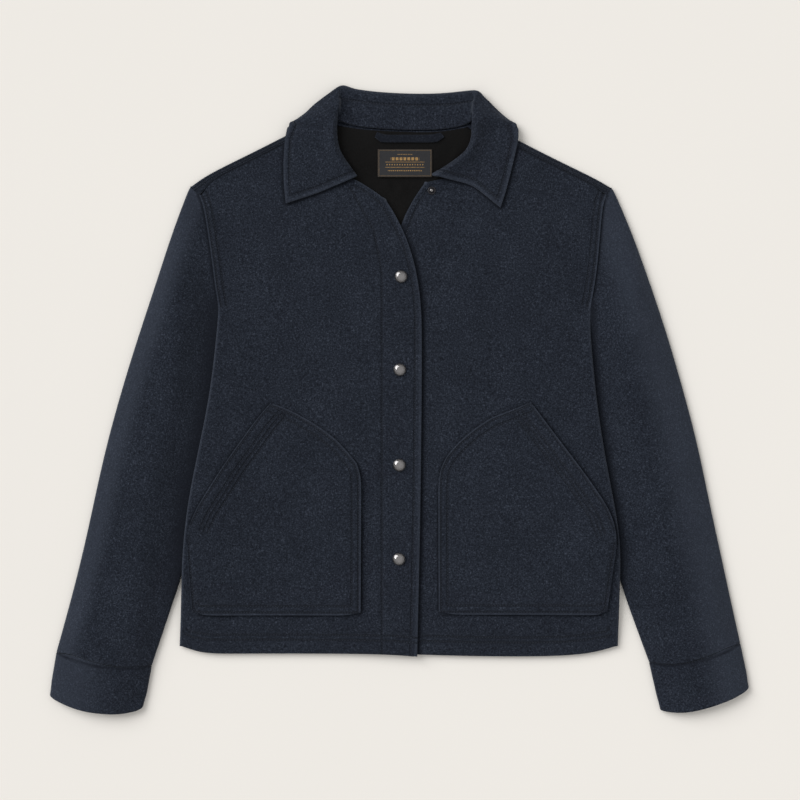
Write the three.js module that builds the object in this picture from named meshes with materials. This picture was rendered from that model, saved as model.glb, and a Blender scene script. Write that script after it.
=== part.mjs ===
// A cropped wool jacket with snap fastening, laid flat on its back with the front up.
// Millimetres, +Z up, +Y towards the collar. Left and right are the wearer's, so the right side is at -X.
// Every panel is a cloth wall made from a grid of points on its middle surface, moved half a wall each way.
import * as THREE from 'three';

// Cloth and seams
const WALL = 2.4; // wool shell
const COLLAR_WALL = 3.2; // two layers pressed together
const LINING_WALL = 1.0;
const LOOP_WALL = 1.8;
const LABEL_WALL = 1.0;
const SEAM = 0.35; // left open between two pieces that are sewn together
const GAP = 1.8; // between back and front, where the lining lies
const EDGE_RADIUS = WALL + GAP / 2; // outer radius of a side fold
const MID_RADIUS = (WALL + GAP) / 2; // the same fold at the middle of the wall
const BODY_HEIGHT = 2 * WALL + GAP;
const SLEEVE_CROWN = 1.9; // how far a sleeve's front stands up along its middle
const CUFF_CROWN = 0.8;

const SHOULDER_WRAP = 8; // from the shoulder fold to the seam, but at the tip
// of its length, a column of nodes each
const SHOULDER_SHARES = [0, 0.1, 0.2, 0.32, 0.46, 0.6, 0.74, 0.88, 1];
const TIP_SHARE = 0.2; // of the shoulder, over which the wrap narrows

// Where the back is lifted: over the sleeves at the sides and over the collar's fall at the neck
const SIDE_LIFT = BODY_HEIGHT + 0.5;
const SIDE_LIFT_REACH = { full: 24, none: 66 }; // from the side fold, inwards
const SIDE_LIFT_ALONG = { top: 106, fullTop: 64, fullBottom: -224, bottom: -286 }; // along Y
const NECK_LIFT = COLLAR_WALL + 0.5;
const NECK_LIFT_ALONG = { full: 300, none: 268 }; // along Y
const NECK_LIFT_REACH = { full: 116, none: 150 }; // from the middle, along X

// Side folds from hem to underarm: y, then x of the right and of the left side
const SIDES = [
  { y: -290, right: -259, left: 257.5 },
  { y: -255, right: -257.5, left: 258.5 },
  { y: -216, right: -256.5, left: 259.5 },
  { y: -175, right: -255, left: 260.5 },
  { y: -132, right: -250.5, left: 255 },
  { y: -90, right: -243, left: 246.5 },
  { y: -45, right: -233.5, left: 238.5 },
  { y: 0, right: -224.5, left: 232 },
  { y: 40, right: -219, left: 228 },
  { y: 75, right: -215.5, left: 225 },
  { y: 97, right: -213.5, left: 224.5 },
  { y: 110, right: -213, left: 225 },
];
const UNDERARM_ROW = SIDES.length - 1;

// Armhole seams from underarm to the forward shoulder seam, then the shoulder tip on the fold
const ARMHOLE_RIGHT = [[-213, 110], [-217, 133], [-220, 158], [-224, 186], [-227.5, 210], [-231, 229],
  [-236, 241.5]];
const ARMHOLE_LEFT = [[225, 110], [229.5, 133], [233, 158], [235.5, 186], [237.5, 210], [239.5, 229], [244,
  242]];

// Shoulder folds from tip to neck, and how far the back wraps over each to its seam on the front
const SHOULDER_RIGHT = shoulderRows([[-247, 251.5], [-224, 266.5], [-175, 291], [-118, 319.5], [-86, 335]],
  14);
const SHOULDER_LEFT = shoulderRows([[251, 250], [229, 262], [180, 286], [123, 315], [93, 331]], 10);

// Neck seams: across the back, and down each front from the shoulder to the end of the collar
const NECK_BACK = [[-83.5, 330.5], [-72, 325.5], [-58, 321.3], [-32, 318.5], [0, 316.8], [30, 316], [56,
  317.5],
  [76, 321.5], [90, 326.5]];
const NECK_RIGHT = [[-50, 259.5], [-61, 261], [-72.5, 274], [-82, 292.5], [-86, 309]];
const NECK_LEFT = [[30, 257], [47, 258.5], [65, 265.5], [81, 276], [92.5, 290], [96, 307]];

// Front edges and hems
const EDGE_RIGHT = [[21, -302], [22.5, -236], [24.5, -141], [26, -21], [26.5, 65], [26.5, 102], [24.5, 130],
  [19.5, 158], [11.5, 186.5], [0.5, 210], [-16, 237], [-33, 251], [-50, 259.5]];
const EDGE_SHARES = [0, 0.09, 0.18, 0.27, 0.36, 0.45, 0.54, 0.62, 0.7, 0.78, 0.86, 0.93, 1];
const EDGE_LEFT = [[-23, -298.5], [-22, -118], [-20.5, 71], [-16, 130], [-7.5, 177], [4, 213.5], [13.5, 235],
  [22, 248], [30, 257]];
const HEM_RIGHT = [[-259, -290], [-249, -295], [-227, -298.5], [-117.5, -298.5], [-8.5, -299.5], [21, -302]];
const HEM_LEFT = [[257.5, -290], [251, -293.5], [228.5, -297.5], [195.5, -301], [151.5, -302], [85.5, -301.5],
  [-23, -298.5]];
const HEM_BACK = [[-259, -290], [-249, -294], [-225, -297], [-117, -297.5], [0, -298.5], [117, -300],
  [195, -299.5], [228, -296.5], [251, -293], [257.5, -290]];
const LAP = { start: 26, full: 4 }; // the upper front rises over the lower one, from its edge outwards

// Sleeves: outer and inner fold from armhole to cuff seam, then the cuff seam and the cuff's hem
const SLEEVE_RIGHT = {
  outer: [[-247.5, 251.5], [-259, 223], [-273, 181.5], [-289.5, 130], [-307.5, 76.5], [-327.5, 12], [-346,
    -55.5],
    [-359, -113.5], [-372, -174.5], [-388.5, -239.5], [-404.5, -297]],
  inner: [[-213.4, 110], [-214, 96], [-216.2, 78], [-218, 58], [-211, 24], [-214, -21], [-225, -88],
    [-239.5, -144],
    [-254, -200.5], [-272.5, -256], [-291.5, -313]],
  seam: [[-404.5, -297], [-391, -298], [-364, -306], [-340, -312], [-319, -314], [-291.5, -313]],
  hem: [[-413.5, -350], [-396, -358.5], [-371.5, -366], [-349, -369], [-325, -370], [-301, -365]],
};
const SLEEVE_LEFT = {
  outer: [[251.5, 250], [264, 223], [280, 181.5], [298, 130], [316, 76.5], [334.5, 12], [352.5, -55.5],
    [364, -113.5], [377.5, -174.5], [391.5, -239.5], [402, -286.5]],
  inner: [[225.4, 110], [225.6, 96], [226, 78], [227.5, 58], [219.5, 24], [222.5, -21], [233, -88], [246,
    -153.5],
    [257.5, -206.5], [274.5, -256], [294, -309]],
  seam: [[402, -286.5], [387, -291], [361, -302], [336, -308.5], [312, -312], [294, -309]],
  hem: [[413.5, -340.5], [397, -350], [374, -358.5], [350, -365.5], [328, -369], [307, -367]],
};
const SLEEVE_RINGS = 12;
const CUFF_RINGS = 3;

// Patch pockets: corner by corner round the outline, each side from its first to its last point
const POCKET_RIGHT = {
  bottom: [[-244, -248], [-236, -252.8], [-142, -253.3], [-60, -253.3], [-48.5, -253.3], [-45.5, -250]],
  inside: [[-45.5, -250], [-45.2, -175], [-45, -99], [-46, -85.5], [-50, -74.5]],
  top: [[-151.5, -3.5], [-135.5, -9], [-118, -17.5], [-96, -30.5], [-74, -47], [-59, -63.5], [-50, -74.5]],
  opening: [[-244, -248], [-249, -190], [-250.5, -163], [-247, -146], [-237, -125], [-205, -74.5], [-166,
    -20],
    [-151.5, -3.5]],
};
const POCKET_LEFT = {
  bottom: [[244, -248], [238, -252.5], [142, -252.5], [60, -252.5], [49.5, -252.3], [46.3, -249]],
  inside: [[46.3, -249], [46, -175], [46, -99], [48, -81.5], [55.5, -66]],
  top: [[154.5, -2.5], [143, -7.5], [130, -12.5], [108, -21], [86.5, -35.5], [69, -50.5], [55.5, -66]],
  opening: [[244, -248], [251, -200], [256, -168.5], [255, -152], [245.5, -127], [217, -85.5], [190.5, -50.5],
    [154.5, -2.5]],
};
const POCKET_COLUMNS = 12;
const POCKET_ROWS = 12;

// Collar, a row for each section from its right front end round the neck to its left front end.
// seam: on the neck seam; roll: the inner fold; turn: the outer fold; edge: the free edge.
// rollZ: height of the middle surface on the roll; ridge: how much it rolls over there (1) or lies flat (0);
// turned: the fall lies on the front (0) or is turned under the back (1), from height turnZ.
const COLLAR = [
  { seam: [-56, 262.5], roll: [-49, 263], turn: [-96, 243.5], edge: [-133.5, 231],
    rollZ: 15, ridge: 1, turned: 0 },
  { seam: [-67, 275.5], roll: [-58.5, 276], turn: [-104, 260], edge: [-136, 252],
    rollZ: 18, ridge: 1, turned: 0 },
  { seam: [-77.5, 291], roll: [-69, 290], turn: [-110, 284], edge: [-136.5, 280],
    rollZ: 20, ridge: 1, turned: 0 },
  { seam: [-83, 306], roll: [-72.5, 305], turn: [-110, 307], edge: [-134.5, 309],
    rollZ: 21, ridge: 1, turned: 0 },
  { seam: [-83.8, 317], roll: [-73, 318], turn: [-110, 320], edge: [-131.5, 319],
    rollZ: 21, ridge: 1, turned: 0 },
  { seam: [-83.6, 326], roll: [-72.5, 329], turn: [-127.5, 326.5], edge: [-124, 319.5],
    rollZ: 21, ridge: 1, turned: 1, turnZ: 13 },
  { seam: [-81.5, 334.5], roll: [-72, 340], turn: [-111, 338.5], edge: [-104, 314],
    rollZ: 18, ridge: 0.9, turned: 1, turnZ: 12 },
  { seam: [-74.5, 331], roll: [-71, 351], turn: [-92, 354.5], edge: [-84, 307],
    rollZ: 12, ridge: 0.5, turned: 1, turnZ: 8 },
  { seam: [-65, 326.5], roll: [-66, 354], turn: [-72.5, 370], edge: [-70, 305],
    rollZ: 6.5, ridge: 0, turned: 1, turnZ: 5.8 },
  { seam: [-48, 322.2], roll: [-50, 350], turn: [-52, 366.5], edge: [-50, 303.5],
    rollZ: 5.8, ridge: 0, turned: 1, turnZ: 5.8 },
  { seam: [-22, 319.5], roll: [-24, 347], turn: [-25, 363], edge: [-24, 302.5],
    rollZ: 5.8, ridge: 0, turned: 1, turnZ: 5.8 },
  { seam: [6, 318.3], roll: [7, 345], turn: [8, 361.2], edge: [8, 302],
    rollZ: 5.8, ridge: 0, turned: 1, turnZ: 5.8 },
  { seam: [34, 318.1], roll: [37, 345], turn: [39, 361], edge: [38, 302],
    rollZ: 5.8, ridge: 0, turned: 1, turnZ: 5.8 },
  { seam: [55, 319.3], roll: [60, 348], turn: [64, 362.5], edge: [62, 303],
    rollZ: 5.8, ridge: 0, turned: 1, turnZ: 5.8 },
  { seam: [72, 322.6], roll: [80, 352], turn: [86, 366], edge: [82, 304],
    rollZ: 6.5, ridge: 0, turned: 1, turnZ: 5.8 },
  { seam: [81, 326], roll: [86.5, 349], turn: [104, 354], edge: [96, 306],
    rollZ: 12, ridge: 0.5, turned: 1, turnZ: 8 },
  { seam: [88.5, 331], roll: [86.5, 339], turn: [115, 340.5], edge: [108, 312],
    rollZ: 18, ridge: 0.9, turned: 1, turnZ: 12 },
  { seam: [90.6, 323.5], roll: [85, 329], turn: [133.5, 326], edge: [130, 318.5],
    rollZ: 21, ridge: 1, turned: 1, turnZ: 13 },
  { seam: [92, 315], roll: [84.5, 318], turn: [118, 320.5], edge: [139.5, 318],
    rollZ: 21, ridge: 1, turned: 0 },
  { seam: [93, 306], roll: [84, 307], turn: [118, 308], edge: [140.5, 309],
    rollZ: 21, ridge: 1, turned: 0 },
  { seam: [88.5, 291], roll: [79, 293], turn: [112, 288], edge: [136, 289],
    rollZ: 20, ridge: 1, turned: 0 },
  { seam: [77, 279.5], roll: [66, 283], turn: [104, 273], edge: [131, 267],
    rollZ: 18, ridge: 1, turned: 0 },
  { seam: [60, 268.5], roll: [50, 272], turn: [95, 259], edge: [125.5, 246],
    rollZ: 17, ridge: 1, turned: 0 },
  { seam: [46, 263.5], roll: [37, 265], turn: [86, 253], edge: [119, 226],
    rollZ: 15, ridge: 1, turned: 0 },
];
const ROLL_RADIUS = 3.6; // of the collar's middle surface where it rolls over
const STAND_CLEAR = 0.7; // between the stand's seam and the lining below it

// What shows inside the neck
const LINING = {
  top: [[-73, 323.5], [-59, 320.2], [-32, 317.4], [0, 315.8], [30, 315], [56, 316.4], [80, 321.5]],
  right: [[-2, 196], [-22, 222], [-46, 247], [-66, 257], [-79, 272], [-88, 290], [-92, 306], [-82, 318],
    [-73, 323.5]],
  left: [[14, 196], [20, 222], [32, 245], [58, 256], [86, 272], [98, 288], [102, 304], [92, 316], [80,
    321.5]],
  columns: 9,
  rows: 9,
};
const LOOP_BOTTOM = [[-29, 309], [-25, 303.6], [10, 303.2], [45.5, 303.6], [53, 309.5]];
const LOOP_TOP = [[-26.5, 315.6], [-21, 312.3], [10, 312], [41.5, 312.3], [48.5, 314.6]];
const LABEL = { x: [-25.5, 38.5], y: [262.5, 295], columns: 3, rows: 3 };

// Snaps
const CAPS = [[2, 145], [0.5, 35.5], [0, -76.5], [-0.5, -187]];
const CAP = { radius: 7.5, rim: 1.1, height: 3.6, flat: 3.0, sides: 24 };
const STUD_AT = [38, 246.5];
const STUD = { baseRadius: 5.2, baseHeight: 1.0, postRadius: 2.6, height: 3.6, sides: 20 };

// Colours
const COLOURS = { wool: 0x242832, woolLit: 0x292e37, collar: 0x282c36, lining: 0x121112, metal: 0x8d8f94 };

// Curves and patches in the plane of the table
function toVectors(rows) {
  return rows.map(([x, y]) => new THREE.Vector2(x, y));
}

// A shoulder's rows of nodes, with the width of the back's wrap at each.
function shoulderRows(fold, tipWrap) {
  return sampled(fold, SHOULDER_SHARES).map(({ x, y }, i) => (
    { x, y, wrap: THREE.MathUtils.lerp(tipWrap, SHOULDER_WRAP, Math.min(SHOULDER_SHARES[i] / TIP_SHARE,
      1)) }));
}

// Height share that is 0 at from and 1 at to, whichever of them is larger.
function ramp(from, to, value) {
  const share = THREE.MathUtils.clamp((value - from) / (to - from), 0, 1);
  return share * share * (3 - 2 * share);
}

// Points spaced along a curve through the given rows, at shares of its length.
function sampled(rows, shares) {
  const curve = new THREE.SplineCurve(toVectors(rows));
  curve.arcLengthDivisions = 60 * rows.length;
  return shares.map((share) => curve.getPointAt(THREE.MathUtils.clamp(share, 0, 1)));
}

const evenShares = (count) => Array.from({ length: count }, (_, index) => index / (count - 1));

function lengthShares(points) {
  const lengths = [0];
  for (let i = 1; i < points.length; i++) lengths.push(lengths[i - 1] + points[i].distanceTo(points[i - 1]));
  return lengths.map((length) => length / lengths[lengths.length - 1]);
}

// The x of a line that rises in y, at a given y.
function xAlong(rows, y, xOf = (row) => row[0], yOf = (row) => row[1]) {
  let i = 1;
  while (i < rows.length - 1 && yOf(rows[i]) < y) i++;
  const share = THREE.MathUtils.clamp((y - yOf(rows[i - 1])) / (yOf(rows[i]) - yOf(rows[i - 1])), 0, 1);
  return THREE.MathUtils.lerp(xOf(rows[i - 1]), xOf(rows[i]), share);
}

// A patch between four borders: bottom and top run along the columns, first and last along the rows.
function patch(bottom, top, first, last, columnShares, rowShares) {
  const corner = { bottomFirst: bottom[0], bottomLast: bottom.at(-1), topFirst: top[0], topLast: top.at(-1) };
  return rowShares.map((v, row) => columnShares.map((u, column) => {
    const point = new THREE.Vector2();
    point.addScaledVector(bottom[column], 1 - v).addScaledVector(top[column], v);
    point.addScaledVector(first[row], 1 - u).addScaledVector(last[row], u);
    point.addScaledVector(corner.bottomFirst, -(1 - u) * (1 - v)).addScaledVector(corner.bottomLast,
      -u * (1 - v));
    point.addScaledVector(corner.topFirst, -(1 - u) * v).addScaledVector(corner.topLast, -u * v);
    return point;
  }));
}

// Heights over the table
function backUnderside(x, y) {
  const side = xAlong(SIDES, y, (row) => (x < 0 ? row.right : row.left), (row) => row.y);
  const inwards = Math.abs(side) - Math.abs(x);
  const along = ramp(SIDE_LIFT_ALONG.top, SIDE_LIFT_ALONG.fullTop, y)
    * ramp(SIDE_LIFT_ALONG.bottom, SIDE_LIFT_ALONG.fullBottom, y);
  const sideLift = SIDE_LIFT * along * ramp(SIDE_LIFT_REACH.none, SIDE_LIFT_REACH.full, inwards);
  const neckLift = NECK_LIFT * ramp(NECK_LIFT_ALONG.none, NECK_LIFT_ALONG.full, y)
    * ramp(NECK_LIFT_REACH.none, NECK_LIFT_REACH.full, Math.abs(x));
  return sideLift + neckLift;
}

const frontUnderside = (x, y) => backUnderside(x, y) + WALL + GAP;
const frontTop = (x, y) => frontUnderside(x, y) + WALL;

// How far the right front is raised where it laps over the left one.
function lapLift(x, y) {
  const beyond = x - xAlong(EDGE_LEFT, y);
  return (WALL + SEAM) * ramp(-LAP.start, -LAP.full, beyond);
}

const UP = new THREE.Vector3(0, 0, 1);

// A point of a wall's middle surface, with the direction in which its outer face lies.
const node = (x, y, z, normal = UP) => ({ point: new THREE.Vector3(x, y, z), normal: normal.clone() });

// A closed wall round a grid of nodes. With loop set, the last column joins the first, as in a sleeve.
function wallFromGrid(grid, wall, loop = false) {
  const rows = grid.length;
  const columns = grid[0].length;
  const positions = [];
  for (const side of [0.5, -0.5]) {
    for (const row of grid) {
      for (const { point, normal } of row) positions.push(...point.clone().addScaledVector(normal,
        side * wall));
    }
  }
  const under = rows * columns;
  const at = (row, column) => row * columns + (column % columns);
  const indices = [];
  const quad = (a, b, c, d) => indices.push(a, b, c, a, c, d);
  const spans = loop ? columns : columns - 1;
  for (let row = 0; row < rows - 1; row++) {
    for (let column = 0; column < spans; column++) {
      const [a, b, c, d] = [at(row, column), at(row, column + 1), at(row + 1, column + 1), at(row + 1,
        column)];
      quad(a, b, c, d);
      quad(a + under, d + under, c + under, b + under);
    }
  }
  const rim = (a, b) => quad(b, a, a + under, b + under);
  for (let column = 0; column < spans; column++) {
    rim(at(0, column), at(0, column + 1));
    rim(at(rows - 1, column + 1), at(rows - 1, column));
  }
  for (let row = 0; row < rows - 1 && !loop; row++) {
    rim(at(row + 1, 0), at(row, 0));
    rim(at(row, columns - 1), at(row + 1, columns - 1));
  }
  return closedGeometry(positions, indices);
}

// A geometry whose faces point out, whichever way its grid runs.
function closedGeometry(positions, indices) {
  const corner = (index) => new THREE.Vector3().fromArray(positions, 3 * index);
  let volume = 0;
  for (let i = 0; i < indices.length; i += 3) {
    const [a, b, c] = [0, 1, 2].map((step) => corner(indices[i + step]));
    volume += a.dot(b.cross(c));
  }
  const facing = volume < 0 ? indices.slice().reverse() : indices;
  const geometry = new THREE.BufferGeometry();
  geometry.setAttribute('position', new THREE.Float32BufferAttribute(positions, 3));
  geometry.setIndex(facing);
  geometry.computeVertexNormals();
  return geometry;
}

// The triangles of both faces of a wall, each as three points.
function faceTriangles(grid, wall) {
  const triangles = [];
  for (const side of [0.5, -0.5]) {
    const face = grid.map((row) => row.map(({ point, normal }) => point.clone().addScaledVector(normal,
      side * wall)));
    for (let row = 0; row < face.length - 1; row++) {
      for (let column = 0; column < face[row].length - 1; column++) {
        const [a, b] = [face[row][column], face[row][column + 1]];
        const [c, d] = [face[row + 1][column + 1], face[row + 1][column]];
        triangles.push([a, b, c], [a, c, d]);
      }
    }
  }
  return triangles;
}

// A function that gives the greatest height of a wall over a point of the table.
function topOf(grid, wall) {
  const triangles = faceTriangles(grid, wall).map(([a, b, c]) => {
    const area = (b.x - a.x) * (c.y - a.y) - (c.x - a.x) * (b.y - a.y);
    const [xs, ys] = [[a.x, b.x, c.x], [a.y, b.y, c.y]];
    return { a, b, c, area, low: [Math.min(...xs), Math.min(...ys)], high: [Math.max(...xs),
      Math.max(...ys)] };
  }).filter(({ area }) => Math.abs(area) > 1e-9);
  return (x, y) => {
    let highest = -Infinity;
    for (const { a, b, c, area, low, high } of triangles) {
      if (x < low[0] || y < low[1] || x > high[0] || y > high[1]) continue;
      const shareB = ((x - a.x) * (c.y - a.y) - (c.x - a.x) * (y - a.y)) / area;
      const shareC = ((b.x - a.x) * (y - a.y) - (x - a.x) * (b.y - a.y)) / area;
      if (shareB < 0 || shareC < 0 || shareB + shareC > 1) continue;
      highest = Math.max(highest, a.z + shareB * (b.z - a.z) + shareC * (c.z - a.z));
    }
    return highest;
  };
}

const SETTLE_SHARES = [0, 0.1, 0.2, 0.3, 0.4, 0.5, 0.6, 0.7, 0.8, 0.9, 1];
const SETTLE_ROUNDS = 3;

// Raises a wall's loose nodes until its lower face clears what it lies on by a seam's width.
function settle(grid, wall, below, isLoose = ({ normal }) => normal.z === 1) {
  const low = ({ point, normal }) => point.clone().addScaledVector(normal,
    normal.z < 0 ? wall / 2 : -wall / 2);
  const lift = (corners) => {
    if (!corners.some(isLoose)) return;
    const [a, b, c] = corners.map(low);
    let short = 0;
    for (const first of SETTLE_SHARES) {
      for (const second of SETTLE_SHARES) {
        if (first + second > 1) continue;
        const sample = a.clone().multiplyScalar(1 - first - second).addScaledVector(b,
          first).addScaledVector(c, second);
        for (const top of below) short = Math.max(short, top(sample.x, sample.y) + SEAM - sample.z);
      }
    }
    for (const corner of corners.filter(isLoose)) corner.point.z += short;
  };
  for (let round = 0; round < SETTLE_ROUNDS; round++) {
    for (let row = 0; row < grid.length - 1; row++) {
      for (let column = 0; column < grid[row].length - 1; column++) {
        const [a, b] = [grid[row][column], grid[row][column + 1]];
        const [c, d] = [grid[row + 1][column + 1], grid[row + 1][column]];
        lift([a, b, c]);
        lift([a, c, d]);
      }
    }
  }
  return grid;
}

// A flat wall lying on a height, such as a pocket on its front.
function layer(plan, wall, underside, below) {
  const grid = plan.map((row) => row.map(({ x, y }) => node(x, y, underside(x, y) + wall / 2)));
  return settle(grid, wall, below);
}

// Body panels
const HALF_SEAM_ANGLE = SEAM / 2 / MID_RADIUS;
const FOLD_STEPS = [0, 1 / 3, 2 / 3, 1];

// The nodes of one row at a side fold, from the flat panel out to the side seam.
// Above the underarm there is no fold, and the same nodes run flat to the armhole seam.
function sideFold(fold, outwards, folded, z, upwards) {
  const inset = fold.x - outwards * EDGE_RADIUS;
  return FOLD_STEPS.map((step) => {
    const angle = folded * step * (Math.PI / 2 - HALF_SEAM_ANGLE);
    const flat = EDGE_RADIUS * step;
    const rolled = MID_RADIUS * Math.sin(step * (Math.PI / 2 - HALF_SEAM_ANGLE));
    const out = THREE.MathUtils.lerp(flat, rolled, folded);
    const rise = folded * MID_RADIUS * (1 - Math.cos(step * (Math.PI / 2 - HALF_SEAM_ANGLE)));
    const tilt = new THREE.Vector3(outwards * Math.sin(angle), 0, -upwards * Math.cos(angle));
    return node(inset + outwards * out, fold.y, z + upwards * rise, tilt);
  });
}

const FOLD_FADE_ROWS = 2; // rows below the underarm over which the side fold opens out
const foldedAt = (row) => THREE.MathUtils.clamp((UNDERARM_ROW - row) / FOLD_FADE_ROWS, 0, 1);

const borderOf = (side, armhole) => [
  ...SIDES.map((row) => new THREE.Vector2(row[side], row.y)),
  ...toVectors(armhole.slice(1)),
];
const BORDER_RIGHT = borderOf('right', ARMHOLE_RIGHT);
const BORDER_LEFT = borderOf('left', ARMHOLE_LEFT);
const inset = (border, outwards) => border.map(({ x, y }) => new THREE.Vector2(x - outwards * EDGE_RADIUS,
  y));

// Unit vectors that point over each shoulder fold, away from the body. The neck end runs straight back.
function shoulderNormals(shoulder) {
  return shoulder.map((_, i) => {
    if (i === shoulder.length - 1) return new THREE.Vector2(0, 1);
    const before = shoulder[Math.max(i - 1, 0)];
    const after = shoulder[Math.min(i + 1, shoulder.length - 1)];
    const along = new THREE.Vector2(after.x - before.x, after.y - before.y).normalize();
    const normal = new THREE.Vector2(-along.y, along.x);
    return normal.y < 0 ? normal.negate() : normal;
  });
}

// Points a given way in from the shoulder fold; the tip keeps to the armhole seam.
function belowShoulder(shoulder, armhole, distanceOf) {
  const normals = shoulderNormals(shoulder);
  const tip = new THREE.Vector2(shoulder[0].x, shoulder[0].y);
  const seamCorner = new THREE.Vector2(...armhole.at(-1));
  return shoulder.map((row, i) => {
    if (i === 0) return tip.clone().lerp(seamCorner, THREE.MathUtils.clamp(distanceOf(row) / row.wrap, 0, 1));
    return new THREE.Vector2(row.x, row.y).addScaledVector(normals[i], -distanceOf(row));
  });
}

function frontPanel({ border, outwards, armhole, shoulder, neck, edge, hem, lift }) {
  const seam = belowShoulder(shoulder, armhole, (row) => row.wrap);
  seam.forEach((point, i) => point.addScaledVector(shoulderNormals(shoulder)[i], -SEAM));
  seam[0].copy(border.at(-1));
  const first = inset(border, outwards);
  const neckShares = evenShares(border.length - EDGE_SHARES.length + 1).slice(1);
  const neckLine = [...neck, [seam.at(-1).x, seam.at(-1).y]];
  const last = [...sampled(edge, EDGE_SHARES), ...sampled(neckLine, neckShares)];
  const hemPoints = sampled(hem, SHOULDER_SHARES);
  hemPoints[0] = first[0];
  const plan = patch(hemPoints, [first.at(-1), ...seam.slice(1)], first, last, SHOULDER_SHARES,
    lengthShares(border));
  const height = (x, y) => frontUnderside(x, y) + WALL / 2 + lift(x, y);
  const grid = plan.map((row, r) => {
    const fold = border[r];
    const foldNodes = sideFold(fold, outwards, foldedAt(r), height(row[0].x, row[0].y), -1).reverse();
    return [...foldNodes.slice(0, -1), ...row.map(({ x, y }) => node(x, y, height(x, y)))];
  });
  return grid;
}

const WRAP_ANGLES = [0.25, 0.5, 0.75, 1].map((share) => share * Math.PI);
const NECK_INSET = 3; // the back's last rows lie within this of its neck seam

// The back: flat rows up to the shoulder folds, then rows that wrap over them to the seam on the front.
function backPanel() {
  const right = belowShoulder(SHOULDER_RIGHT, ARMHOLE_RIGHT, () => EDGE_RADIUS);
  const left = belowShoulder(SHOULDER_LEFT, ARMHOLE_LEFT, () => EDGE_RADIUS).reverse();
  const neckIn = NECK_BACK.map(([x, y]) => new THREE.Vector2(x, y - NECK_INSET));
  const top = [...right, ...neckIn, ...left];
  const columnShares = lengthShares(top);
  const borderRight = [...inset(BORDER_RIGHT, -1), right[0]];
  const borderLeft = [...inset(BORDER_LEFT, 1), left.at(-1)];
  const rowShares = lengthShares(borderRight);
  const hem = sampled(HEM_BACK, columnShares);
  hem[0] = borderRight[0];
  hem[hem.length - 1] = borderLeft[0];
  const plan = patch(hem, top, borderRight, borderLeft, columnShares, rowShares);
  const height = (x, y) => backUnderside(x, y) + WALL / 2;
  const grid = plan.map((row, r) => {
    const flat = row.map(({ x, y }) => node(x, y, height(x, y), UP.clone().negate()));
    if (r === plan.length - 1) return flatEnds(flat);
    const start = flat[0].point;
    const end = flat.at(-1).point;
    const foldRight = sideFold(BORDER_RIGHT[r], -1, foldedAt(r), start.z, 1).reverse();
    const foldLeft = sideFold(BORDER_LEFT[r], 1, foldedAt(r), end.z, 1);
    return [...foldRight.slice(0, -1), ...flat, ...foldLeft.slice(1)];
  });
  return [...grid, ...wrapRows(grid.at(-1), plan.at(-1))];
}

const END_STEP = 1.2; // between the nodes that run out to the armhole beside the shoulder tip

// The last flat row has as many nodes as the others, set close together inside the shoulder tips.
function flatEnds(flat) {
  const extra = FOLD_STEPS.length - 1;
  const spread = ({ point }, inwards) => Array.from({ length: extra + 1 }, (_, i) => (
    node(point.x + inwards * END_STEP * i / extra, point.y, point.z, UP.clone().negate())));
  return [...spread(flat[0], 1), ...flat.slice(1, -1), ...spread(flat.at(-1), -1).reverse()];
}

// Rows that follow the back's wall over the shoulder folds. At the neck they close up to the neck seam.
function wrapRows(last, plan) {
  const extra = FOLD_STEPS.length - 1;
  const rightCount = extra + SHOULDER_RIGHT.length;
  const leftCount = extra + SHOULDER_LEFT.length;
  const normalsRight = shoulderNormals(SHOULDER_RIGHT);
  const normalsLeft = shoulderNormals(SHOULDER_LEFT);
  const seamsRight = belowShoulder(SHOULDER_RIGHT, ARMHOLE_RIGHT, (row) => row.wrap);
  const seamsLeft = belowShoulder(SHOULDER_LEFT, ARMHOLE_LEFT, (row) => row.wrap);
  const ahead = (column) => {
    const fromEnd = last.length - 1 - column;
    const right = column < rightCount;
    if (!right && fromEnd >= leftCount) return null;
    const i = Math.max((right ? column : fromEnd) - extra, 0);
    const normal = (right ? normalsRight : normalsLeft)[i];
    const flat = plan[right ? i : plan.length - 1 - i];
    return { normal, flat, seam: (right ? seamsRight : seamsLeft)[i] };
  };
  const rows = WRAP_ANGLES.map((angle, step) => last.map(({ point }, column) => {
    const shoulder = ahead(column);
    if (!shoulder) {
      const share = (step + 1) / (WRAP_ANGLES.length + 1);
      return node(point.x, point.y + NECK_INSET * share, point.z, UP.clone().negate());
    }
    const out = shoulder.normal;
    const along = MID_RADIUS * Math.sin(angle);
    const up = MID_RADIUS * (1 - Math.cos(angle));
    const normal = new THREE.Vector3(out.x * Math.sin(angle), out.y * Math.sin(angle), -Math.cos(angle));
    return node(point.x + out.x * along, point.y + out.y * along, point.z + up, normal);
  }));
  const seamRow = last.map(({ point }, column) => {
    const shoulder = ahead(column);
    if (!shoulder) return node(point.x, point.y + NECK_INSET, point.z, UP.clone().negate());
    const { flat, seam } = shoulder;
    return node(seam.x + point.x - flat.x, seam.y + point.y - flat.y, point.z + 2 * MID_RADIUS);
  });
  return [...rows, seamRow];
}

// Sleeves and cuffs: flat tubes, round at both folds
const TUBE_FOLD_ANGLES = [0.25, 0.5, 0.75].map((share) => share * Math.PI);

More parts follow.
